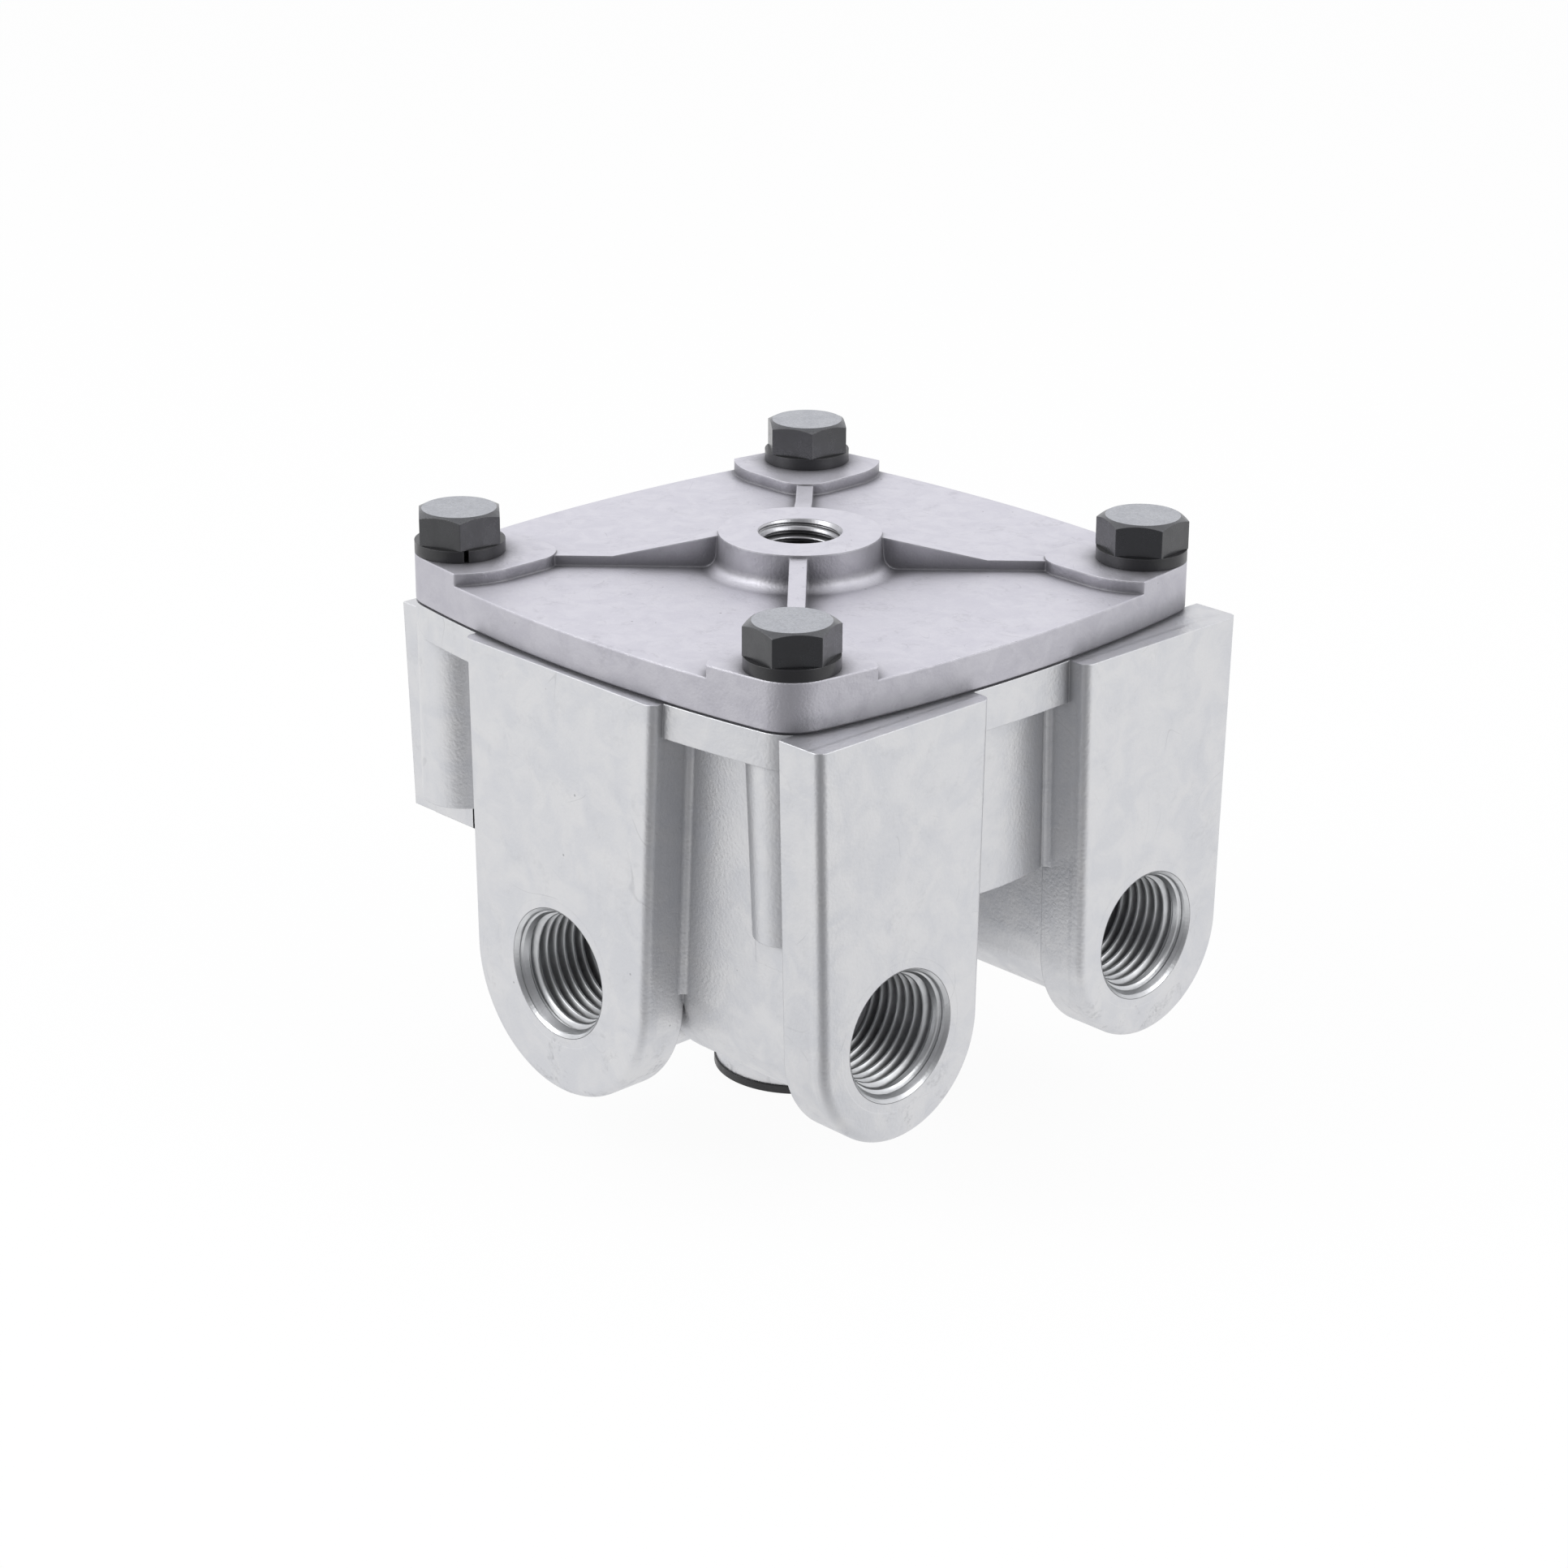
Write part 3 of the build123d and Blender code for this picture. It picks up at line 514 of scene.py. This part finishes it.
def grow(name, tree, values, body, replaced=()):
    """Runs a geometry tree on an empty mesh with these inputs, and shows what it makes."""
    seed = bpy.data.objects.new(name + "_seed", bpy.data.meshes.new(name + "_seed"))
    bpy.context.scene.collection.objects.link(seed)
    modifier = seed.modifiers.new("grow", "NODES")
    modifier.node_group = tree
    for socket, value in values.items():
        modifier[input_of(tree, socket)] = value
    graph = bpy.context.evaluated_depsgraph_get()
    mesh = bpy.data.meshes.new_from_object(seed.evaluated_get(graph))
    seed.modifiers.remove(modifier)
    bpy.data.objects.remove(seed)
    return show(name, mesh, body, replaced)


def finish_tree(tree, given, out, geometry, smooth):
    """Puts the shape in its place and ends the tree."""
    put = add(tree, "GeometryNodeTransform", Geometry=geometry, Translation=given["Place"],
              Rotation=given["Turn"])
    shaded = add(tree, "GeometryNodeSetShadeSmooth", Geometry=put.outputs[0], Shade_Smooth=smooth)
    real = add(tree, "GeometryNodeRealizeInstances", Geometry=shaded.outputs[0])
    dressed = add(tree, "GeometryNodeSetMaterial", Geometry=real.outputs[0], Material=given["Material"])
    tree.links.new(dressed.outputs[0], out["Geometry"])


PLACE = [("Place", "NodeSocketVector", None), ("Turn", "NodeSocketVector", None),
         ("Material", "NodeSocketMaterial", None)]


def pipe_thread_tree():
    """Internal pipe thread: one skin whose rows follow the helix and are cut off level at the mouth, and
    a plain wall behind it that closes it. The mouth is at the origin and the thread runs down along -Z."""
    tree, given, out = new_group(
        "pipe thread", "GeometryNodeTree",
        [("Wall Radius", "NodeSocketFloat", 0.01), ("Mouth Radius", "NodeSocketFloat", 0.011),
         ("Pitch", "NodeSocketFloat", 0.0018), ("Depth", "NodeSocketFloat", 0.0014),
         ("Length", "NodeSocketFloat", 0.017), ("Taper", "NodeSocketFloat", 0.03125),
         ("Run In", "NodeSocketFloat", 0.45), ("Backing", "NodeSocketFloat", 0.0001),
         ("Rows a Turn", "NodeSocketInt", 10), ("Round Steps", "NodeSocketInt", 96), *PLACE],
        [("Geometry", "NodeSocketGeometry")])
    spare_turns, closing_rows, flank, weld = 2.0, 3.0, (0.14, 0.86), 0.002 * MM
    # A square grid, whose columns go round the bore and whose rows go down it and back up behind
    turns = maths(tree, "ADD", maths(tree, "DIVIDE", given["Length"], given["Pitch"]), spare_turns)
    rows = maths(tree, "CEIL", maths(tree, "MULTIPLY", turns, given["Rows a Turn"]))
    grid = add(tree, "GeometryNodeMeshGrid", Size_X=1.0, Size_Y=1.0,
               Vertices_X=maths(tree, "ADD", given["Round Steps"], 1.0),
               Vertices_Y=maths(tree, "ADD", rows, closing_rows))
    spot = add(tree, "ShaderNodeSeparateXYZ", _0=tree.nodes.new("GeometryNodeInputPosition").outputs[0])
    share = maths(tree, "ADD", spot.outputs[0], 0.5)
    last = maths(tree, "ADD", rows, closing_rows - 1.0)
    row = maths(tree, "ROUND", maths(tree, "MULTIPLY", maths(tree, "ADD", spot.outputs[1], 0.5), last))
    angle = maths(tree, "MULTIPLY", share, math.tau)
    # How deep a row lies at this angle, and the thread's radius there
    skin_row = maths(tree, "MINIMUM", row, maths(tree, "SUBTRACT", rows, 1.0))
    turn_count = maths(tree, "DIVIDE", skin_row, given["Rows a Turn"])
    way = maths(tree, "MULTIPLY", maths(tree, "SUBTRACT", turn_count, share), given["Pitch"])
    depth_in = maths(tree, "MINIMUM", maths(tree, "MAXIMUM", way, 0.0), given["Length"])
    saw = maths(tree, "MULTIPLY_ADD", maths(tree, "FRACT", turn_count), 2.0, -1.0)
    ridge = spread_linear(tree, maths(tree, "SUBTRACT", 1.0, maths(tree, "ABSOLUTE", saw)), *flank)
    thread_r = maths(tree, "SUBTRACT", given["Wall Radius"], maths(tree, "MULTIPLY", ridge, given["Depth"]))
    thread_r = maths(tree, "SUBTRACT", thread_r, maths(tree, "MULTIPLY", depth_in, given["Taper"]))
    # The chamfer at the mouth and the cone at the foot cut the ridges off
    lip = maths(tree, "MINIMUM", depth_in,
                maths(tree, "SUBTRACT", given["Mouth Radius"], given["Wall Radius"]))
    mouth_cone = maths(tree, "SUBTRACT", given["Mouth Radius"],
                       maths(tree, "MULTIPLY", depth_in, given["Run In"]))
    mouth_cone = maths(tree, "SUBTRACT", mouth_cone,
                       maths(tree, "MULTIPLY", lip, maths(tree, "SUBTRACT", 1.0, given["Run In"])))
    foot_cone = maths(tree, "SUBTRACT", given["Wall Radius"],
                      maths(tree, "SUBTRACT", given["Length"], depth_in))
    skin_r = maths(tree, "MAXIMUM", thread_r, maths(tree, "MAXIMUM", mouth_cone, foot_cone))
    # The last three rows: the wall's foot, the wall's top, and the mouth again
    back_r = maths(tree, "ADD", given["Mouth Radius"], given["Backing"])
    behind = maths(tree, "GREATER_THAN", row, maths(tree, "SUBTRACT", rows, 0.5))
    at_mouth = maths(tree, "GREATER_THAN", row, maths(tree, "ADD", rows, 0.5))
    closing = maths(tree, "GREATER_THAN", row, maths(tree, "ADD", rows, 1.5))
    on_back = maths(tree, "MULTIPLY", behind, maths(tree, "SUBTRACT", 1.0, closing))
    radius = blend_value(tree, on_back, skin_r, back_r)
    radius = blend_value(tree, closing, radius, given["Mouth Radius"])
    down = blend_value(tree, behind, depth_in, given["Length"])
    down = blend_value(tree, at_mouth, down, 0.0)
    point = add(tree, "ShaderNodeCombineXYZ",
                _0=maths(tree, "MULTIPLY", radius, maths(tree, "COSINE", angle)),
                _1=maths(tree, "MULTIPLY", radius, maths(tree, "SINE", angle)),
                _2=maths(tree, "MULTIPLY", down, -1.0))
    bent = add(tree, "GeometryNodeSetPosition", Geometry=grid.outputs[0], Position=point.outputs[0])
    joined = add(tree, "GeometryNodeMergeByDistance", Geometry=bent.outputs[0], Distance=weld)
    finish_tree(tree, given, out, joined.outputs[0], smooth=False)
    return tree


def coil_tree():
    """Round wire wound on a helix, standing on its foot at the place given."""
    tree, given, out = new_group(
        "wire coil", "GeometryNodeTree",
        [("Radius", "NodeSocketFloat", 0.01), ("Wire", "NodeSocketFloat", 0.001),
         ("Height", "NodeSocketFloat", 0.02), ("Turns", "NodeSocketFloat", 4.0), *PLACE],
        [("Geometry", "NodeSocketGeometry")])
    steps_a_turn, wire_steps = 48, 14
    path = add(tree, "GeometryNodeCurveSpiral", Resolution=steps_a_turn, Rotations=given["Turns"],
               Start_Radius=given["Radius"], End_Radius=given["Radius"], Height=given["Height"])
    wire = add(tree, "GeometryNodeCurvePrimitiveCircle", Resolution=wire_steps, Radius=given["Wire"])
    tube = add(tree, "GeometryNodeCurveToMesh", Curve=path.outputs[0], Profile_Curve=wire.outputs[0],
               Fill_Caps=True)
    finish_tree(tree, given, out, tube.outputs[0], smooth=True)
    return tree


def ring_tree():
    """O-ring: a round section taken round a circle."""
    tree, given, out = new_group(
        "round ring", "GeometryNodeTree",
        [("Radius", "NodeSocketFloat", 0.01), ("Wire", "NodeSocketFloat", 0.001), *PLACE],
        [("Geometry", "NodeSocketGeometry")])
    round_steps, section_steps = 96, 16
    path = add(tree, "GeometryNodeCurvePrimitiveCircle", Resolution=round_steps, Radius=given["Radius"])
    section = add(tree, "GeometryNodeCurvePrimitiveCircle", Resolution=section_steps, Radius=given["Wire"])
    tube = add(tree, "GeometryNodeCurveToMesh", Curve=path.outputs[0], Profile_Curve=section.outputs[0])
    finish_tree(tree, given, out, tube.outputs[0], smooth=True)
    return tree


# Threads in the four ports
pipe_thread = pipe_thread_tree()
toward_supply, toward_delivery, toward_control = (math.pi / 2, 0, 0), (0, math.pi / 2, 0), (0, 0, 0)
half_inch = {"Wall Radius": 10.37 * MM, "Mouth Radius": 10.87 * MM, "Pitch": 1.814 * MM, "Depth": 1.3 * MM,
             "Length": 16.9 * MM}
quarter_inch = {"Wall Radius": 6.88 * MM, "Mouth Radius": 6.88 * MM, "Pitch": 1.411 * MM,
                "Depth": 1.05 * MM, "Length": 8.8 * MM, "Backing": 0.0, "Round Steps": 72}
ports = {
    "supply_thread": (toward_supply, SUPPLY_PORT, half_inch, thread_cut),
    "delivery_thread_front": (toward_delivery, FRONT_PORT, half_inch, thread_cut),
    "delivery_thread_rear": (toward_delivery, REAR_PORT, half_inch, thread_cut),
    "control_thread": (toward_control, CONTROL_PORT, quarter_inch, control_thread_painted_shade),
}
for name, (turn, spot, sizes, skin) in ports.items():
    grow(name, pipe_thread, {**sizes, "Place": scaled(spot, MM), "Turn": turn, "Material": skin},
         "housing")

# Springs with round wire, in place of the six-sided ones. kept is the share of the length that is left
# when the joint is at its limit.
wire_coil = coil_tree()
springs = {
    "piston_spring": {"name": "piston_spring_wire", "joint": "piston_slide", "radius": 13.0 * MM,
                      "wire": 1.0 * MM, "turns": 3.5, "kept": 0.76},
    "valve_spring": {"name": "valve_spring_wire", "joint": "valve_slide", "radius": 8.9 * MM,
                     "wire": 0.7 * MM, "turns": 5.0, "kept": 0.90},
}
for node, spring in springs.items():
    low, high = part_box(node)
    wire = spring["wire"]
    piece = grow(spring["name"], wire_coil,
                 {"Radius": spring["radius"], "Wire": wire, "Height": high.z - low.z - 2 * wire,
                  "Turns": spring["turns"], "Place": (0, 0, low.z + wire), "Material": spring_wire},
                 "housing", [node])
    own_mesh(piece)

# O-rings with a round section, in place of the eight-sided ones
round_ring = ring_tree()
rings = {
    "cover_seal": ("cover_seal_ring", "housing"),
    "piston_ring": ("piston_seal_ring", "piston"),
    "guide_outer_ring": ("guide_outer_seal", "housing"),
    "guide_inner_ring": ("guide_inner_seal", "housing"),
}
for node, (name, body) in rings.items():
    low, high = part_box(node)
    wire = (high.z - low.z) / 2
    grow(name, round_ring, {"Radius": high.x - wire, "Wire": wire, "Place": (0, 0, (low.z + high.z) / 2),
                            "Material": seal_rubber}, body, [node])


# Castings: copies of the CAD body and cover, cut and added to as the photograph shows them. The tools'
# sizes are in millimetres.

def solid(rings, looped=False):
    """Closed mesh from rings of points, each joined to the next, with a cap at each end unless looped."""
    count = len(rings[0])
    last = (len(rings) - 1) * count
    faces = [] if looped else [range(count), range(last, last + count)]
    for start in range(0, last + count if looped else last, count):
        following = (start + count) % (last + count)
        for step in range(count):
            after = (step + 1) % count
            faces.append((start + step, start + after, following + after, following + step))
    mesh = bpy.data.meshes.new("tool")
    mesh.from_pydata([scaled(point, MM) for ring in rings for point in ring], [],
                     [tuple(face) for face in faces])
    skin = bmesh.new()
    skin.from_mesh(mesh)
    bmesh.ops.recalc_face_normals(skin, faces=skin.faces)
    skin.to_mesh(mesh)
    skin.free()
    tool = bpy.data.objects.new("tool", mesh)
    bpy.context.scene.collection.objects.link(tool)
    return tool


def ear(place, top_middle, top_half, foot_middle, foot_z, foot_r, thick):
    """Ear with a straight top at the joint, sides drawn in to a round foot, and rounded front edges."""
    edge_r, edge_steps, foot_steps = 1.6, 8, 60
    edge_turns = [step * math.pi / 2 / edge_steps for step in range(edge_steps + 1)]
    foot_turns = [step * math.pi / foot_steps for step in range(foot_steps + 1)]
    layers = [(edge_r * (1 - math.sin(turn)), edge_r * (1 - math.cos(turn))) for turn in edge_turns]
    rings = []
    for inset, depth in [*layers, (0.0, thick)]:
        radius = foot_r - inset
        outline = [(top_middle - top_half + inset, JOINT_Z)]
        outline += [(foot_middle - radius * math.cos(turn), foot_z - radius * math.sin(turn))
                    for turn in foot_turns]
        outline.append((top_middle + top_half - inset, JOINT_Z))
        rings.append([place(along, up, depth) for along, up in outline])
    return solid(rings)


def turned(place, profile, clip=None):
    """Solid of revolution from (depth, radius) pairs; clip may hold a point's place across the axis."""
    round_steps = 72
    rings = []
    for depth, radius in profile:
        ring = []
        for step in range(round_steps):
            turn = step * math.tau / round_steps
            spot = (radius * math.cos(turn), radius * math.sin(turn))
            ring.append(place(*(clip(*spot) if clip else spot), depth))
        rings.append(ring)
    return solid(rings)


def box(low, high):
    """Straight block between two corners."""
    corners = [(low[0], low[1]), (high[0], low[1]), (high[0], high[1]), (low[0], high[1])]
    return solid([[(x, y, z) for x, y in corners] for z in (low[2], high[2])])


def root(x, y, side_x, side_y, lean, drop):
    """Fillet down the corner at x, y that opens towards side_x, side_y, leaning with the ear beside it."""
    radius, lap, start, quarter_steps = 1.2, 0.5, 0.2, 8
    turns = [step * math.pi / 2 / quarter_steps for step in range(quarter_steps + 1)]
    section = [(x + side_x * radius * (1 - math.cos(turn)), y + side_y * radius * (1 - math.sin(turn)))
               for turn in turns]
    section += [(x + side_x * radius, y - side_y * lap), (x - side_x * lap, y - side_y * lap),
                (x - side_x * lap, y + side_y * radius)]
    return solid([[(a + lean[0] * fall, b + lean[1] * fall, JOINT_Z - fall) for a, b in section]
                  for fall in (start, drop)])


def on_supply(along, up, depth):
    """Point behind the supply ear's face."""
    return (along, SUPPLY_FACE_Y + depth, up)


def on_delivery(along, up, depth):
    """Point behind the delivery ears' face."""
    return (DELIVERY_FACE_X - depth, along, up)


def from_axis(place, along, up):
    """Places for a turned solid whose axis goes straight in from the face at this point."""
    return lambda a, b, depth: place(along + a, up + b, depth)


def column_at(x, y):
    """Places for a turned solid that hangs from the joint."""
    return lambda a, b, depth: (x + a, y + b, JOINT_Z - depth)


def beyond(side, limit, axis=1):
    """Holds points outside a wall that stands square to this axis."""
    def held(a, b):
        spot = [a, b]
        spot[axis] = side * max(side * spot[axis], limit)
        return spot
    return held


def body_tools():
    """What is cut from the body and joined to it, in turn: ears, ports, root fillets and bolt columns."""
    work = []
    # The ears' fronts are cut off where nothing but the ears stands
    ear_fronts = [((50.4, -49, -82), (54, -9, -12)), ((50.4, 9, -82), (54, 49, -12)),
                  ((-25, -52, -86), (23, -49.85, -12))]
    work += [("DIFFERENCE", box(low, high)) for low, high in ear_fronts]
    # New ears, with the old bores filled, and the ports cut again at their own places
    supply_ear = {"top_middle": -1.2, "top_half": 22.5, "foot_middle": -2.05, "foot_z": -63.7,
                  "foot_r": 20.8, "thick": 8.25}
    delivery_ear = {"top_half": 18.1, "foot_z": -63.5, "foot_r": 16.95, "thick": 8.7}
    front_ear = {**delivery_ear, "top_middle": -28.9, "foot_middle": -28.7}
    rear_ear = {**delivery_ear, "top_middle": 28.9, "foot_middle": 28.7}
    ears = [(on_supply, supply_ear, SUPPLY_PORT[0], -1.2, SUPPLY_PORT[2]),
            (on_delivery, front_ear, FRONT_PORT[1], -28.5, FRONT_PORT[2]),
            (on_delivery, rear_ear, REAR_PORT[1], 28.5, REAR_PORT[2])]
    plug = [(3, 12.2), (19.6, 12.2)]
    bore = [(-0.1, 11.0), (0.5, 10.4), (17.0, 10.4), (18.8, 8.6), (19.9, 8.6)]
    for place, sizes, port_along, old_along, port_z in ears:
        work.append(("UNION", ear(place, **sizes)))
        work.append(("UNION", turned(from_axis(place, old_along, port_z), plug)))
        work.append(("DIFFERENCE", turned(from_axis(place, port_along, port_z), bore)))
    # Fillets where the ears rise from the walls behind them
    supply_lean, delivery_lean = -0.0494, 0.0185
    work.append(("UNION", root(21.3, -43.0, 1, -1, (supply_lean, 0), 50.4)))
    for side in (-1, 1):
        work.append(("UNION", root(45.5, side * 10.8, 1, -side, (0, side * delivery_lean), 36.0)))
    # Bolt columns: shorter ones behind the mounting pad, fuller and shorter ones on the delivery side.
    # Each cut stops at the walls beside its column, by the arms 0.03 mm short of them.
    pad_foot, arm_foot, old_foot = 34.2, 35.0, 40.0
    pad_surplus = [(pad_foot, 7.6), (old_foot, 7.6)]
    arm_surplus = [(arm_foot, 7.4), (old_foot, 7.4)]
    arm_column = [(0.2, 7.2), (arm_foot, 5.85)]
    for side in (-1, 1):
        behind_pad = column_at(-BOLT_REACH, side * BOLT_REACH)
        work.append(("DIFFERENCE", turned(behind_pad, pad_surplus, beyond(1, 2.6, 0))))
        work.append(("DIFFERENCE", turned(behind_pad, pad_surplus, beyond(side, 1.0))))
        by_arm = column_at(BOLT_REACH, side * BOLT_REACH)
        work.append(("DIFFERENCE", turned(by_arm, arm_surplus, beyond(side, 3.93))))
        work.append(("UNION", turned(by_arm, arm_column)))
    return work


def rim_chamfer():
    """Ring of triangular section that follows the cover's outline, to cut its lower edge off at a slant."""
    corner_r, side_reach, cut, spare = 7.4, 49.8, 0.5, 0.3
    side_steps, corner_steps = 14, 16
    side_gain = side_reach - BOLT_REACH
    arc_r = (BOLT_REACH**2 + side_gain**2 - corner_r**2) / (2 * (side_gain - corner_r))
    arc_centre = arc_r - side_reach
    half_turn = math.atan2(BOLT_REACH, BOLT_REACH + arc_centre)
    # One bulged side and one corner, four times round
    outline = []
    for quarter in range(4):
        start = quarter * math.pi / 2
        for step in range(-side_steps, side_steps + 1):
            turn = half_turn * step / side_steps
            outline.append((arc_r * math.cos(turn) - arc_centre, arc_r * math.sin(turn), turn, start))
        for step in range(1, corner_steps):
            turn = half_turn + (math.pi / 2 - 2 * half_turn) * step / corner_steps
            outline.append((BOLT_REACH + corner_r * math.cos(turn), BOLT_REACH + corner_r * math.sin(turn),
                            turn, start))
    section = [(-cut - spare, -spare), (spare * 2, -spare), (spare * 2, cut + spare * 2)]
    rings = []
    for x, y, turn, start in outline:
        ring = []
        for outward, up in section:
            a, b = x + outward * math.cos(turn), y + outward * math.sin(turn)
            ring.append((a * math.cos(start) - b * math.sin(start),
                         a * math.sin(start) + b * math.cos(start), JOINT_Z + up))
        rings.append(ring)
    return solid(rings, looped=True)


def drop_crumbs(mesh):
    """Deletes the loose slivers that cuts along a shared wall can leave behind."""
    crumb_size = 100
    skin = bmesh.new()
    skin.from_mesh(mesh)
    seen = set()
    for first in skin.verts:
        if first in seen:
            continue
        island, waiting = set(), [first]
        while waiting:
            corner = waiting.pop()
            if corner not in island:
                island.add(corner)
                waiting += [edge.other_vert(corner) for edge in corner.link_edges]
        seen |= island
        if len(island) < crumb_size:
            bmesh.ops.delete(skin, geom=list(island), context="VERTS")
    skin.to_mesh(mesh)
    skin.free()


def carve(node, work, name, material):
    """Cuts tools from a copy of a CAD body and joins others to it, and shows the result in its place."""
    merge_reach, sharp_angle = 0.0002 * MM, math.radians(28)
    copy = bpy.data.objects.new("copy", nodes[node].data.copy())
    loaded_normals = copy.data.attributes.get("custom_normal")
    if loaded_normals:
        copy.data.attributes.remove(loaded_normals)
    bpy.context.scene.collection.objects.link(copy)
    weld = copy.modifiers.new("weld", "WELD")
    weld.merge_threshold = merge_reach
    for operation, tool in work:
        step = copy.modifiers.new("step", "BOOLEAN")
        step.solver = "MANIFOLD"
        step.operation = operation
        step.object = tool
    graph = bpy.context.evaluated_depsgraph_get()
    mesh = bpy.data.meshes.new_from_object(copy.evaluated_get(graph))
    for _, tool in work:
        bpy.data.objects.remove(tool)
    bpy.data.objects.remove(copy)
    drop_crumbs(mesh)
    mesh.polygons.foreach_set("use_smooth", [True] * len(mesh.polygons))
    mesh.set_sharp_from_angle(angle=sharp_angle)
    mesh.materials.clear()
    mesh.materials.append(material)
    show(name, mesh, "housing", [node])


carve("body", body_tools(), "body_casting", body_cast)
carve("cover", [("DIFFERENCE", rim_chamfer())], "cover_casting", cover_cast)


# Floor, light and camera

TO_CAMERA = (0.724, -0.690)
CAMERA_TONE = (0.24, 0.24, 0.25)


def floor():
    """White sweep under the valve, seen as pure white, that keeps a faint shadow and mirrors darker in
    front."""
    floor_size, gap, glow_share = 6, 0.02 * MM, 0.94
    mirrored_tone, front_band = (0.95, 0.95, 0.96), (0.45, 0.95)
    bpy.ops.mesh.primitive_plane_add(size=floor_size, location=(0, 0, cad_box[0][2] - gap))
    sheet = bpy.context.object
    sheet.name = "floor"
    material, tree, bsdf = new_material("white floor")
    bsdf.inputs["Base Color"].default_value = (0.9, 0.9, 0.9, 1)
    bsdf.inputs["Roughness"].default_value = 0.9
    glow = tree.nodes.new("ShaderNodeEmission")
    glow.inputs["Strength"].default_value = 1.0
    light = tree.nodes.new("ShaderNodeLightPath").outputs
    place = tree.nodes.new("ShaderNodeNewGeometry").outputs["Position"]
    way = vector_maths(tree, "NORMALIZE", place)
    front = vector_maths(tree, "DOT_PRODUCT", way.outputs[0], (*TO_CAMERA, 0))
    mirrored = mix_colour(tree, spread(tree, front.outputs["Value"], *front_band), mirrored_tone, CAMERA_TONE)
    tree.links.new(mix_colour(tree, light["Is Camera Ray"], mirrored, WHITE), glow.inputs["Color"])
    seen = maths(tree, "MAXIMUM", light["Is Camera Ray"],
                 maths(tree, "MAXIMUM", light["Is Glossy Ray"], light["Is Transmission Ray"]))
    blend = add(tree, "ShaderNodeMixShader", _0=maths(tree, "MULTIPLY", seen, glow_share),
                _1=bsdf.outputs[0], _2=glow.outputs[0])
    tree.links.new(blend.outputs[0], tree.nodes["Material Output"].inputs["Surface"])
    sheet.data.materials.append(material)


def world():
    """Soft white room, dark where the camera stands, so that walls that face it show."""
    level_share, upward, room_tone, dark_band = 0.95, 0.30, (0.95, 0.95, 0.97), (0.35, 0.95)
    sky = bpy.data.worlds.new("studio")
    bpy.context.scene.world = sky
    sky.use_nodes = True
    tree = sky.node_tree
    background = tree.nodes["Background"]
    light = tree.nodes.new("ShaderNodeLightPath").outputs
    way = tree.nodes.new("ShaderNodeTexCoord").outputs["Generated"]
    toward_camera = vector_maths(tree, "DOT_PRODUCT", way, (*scaled(TO_CAMERA, level_share), upward))
    room = mix_colour(tree, spread(tree, toward_camera.outputs["Value"], *dark_band), room_tone, CAMERA_TONE)
    tree.links.new(mix_colour(tree, light["Is Camera Ray"], room, WHITE), background.inputs["Color"])
    background.inputs["Strength"].default_value = 1.0


def softbox(name, place, size, power):
    """Area lamp turned to the valve's middle."""
    valve_middle = Vector((0, 0, -0.05))
    lamp = bpy.data.lights.new(name, "AREA")
    lamp.shape = "RECTANGLE"
    lamp.size, lamp.size_y = size
    lamp.energy = power
    holder = bpy.data.objects.new(name, lamp)
    holder.location = place
    holder.rotation_euler = (valve_middle - Vector(place)).to_track_quat("-Z", "Y").to_euler()
    bpy.context.scene.collection.objects.link(holder)


def camera():
    """Camera at the photograph's viewpoint, its axes from the yaw, pitch and roll that fit it."""
    yaw, pitch, roll = -0.809345762, 0.369369435, 0.00426406585
    viewpoint = (0.411245427, -0.395384121, 0.176875084)
    focal_pixels, photo_pixels, sensor_width = 4532.59797, 1932, 36.0
    ahead = Vector((math.sin(yaw) * math.cos(pitch), math.cos(yaw) * math.cos(pitch), -math.sin(pitch)))
    right = Vector((math.cos(yaw), -math.sin(yaw), 0))
    up = right.cross(ahead)
    right, up = (math.cos(roll) * right + math.sin(roll) * up,
                 math.cos(roll) * up - math.sin(roll) * right)
    lens = bpy.data.cameras.new("camera")
    lens.sensor_width = sensor_width
    lens.lens = focal_pixels / photo_pixels * sensor_width
    lens.clip_start, lens.clip_end = 0.01, 20
    holder = bpy.data.objects.new("camera", lens)
    turn = Matrix((right, up, -ahead)).transposed()
    holder.matrix_world = Matrix.Translation(viewpoint) @ turn.to_4x4()
    bpy.context.scene.collection.objects.link(holder)
    bpy.context.scene.camera = holder


floor()
world()
softbox("left_softbox", (-0.35, -0.75, 0.55), (0.6, 0.6), 4.0)
softbox("right_softbox", (0.85, 0.25, 0.5), (0.6, 0.6), 3.0)
camera()
bpy.context.scene.view_settings.view_transform = "Standard"
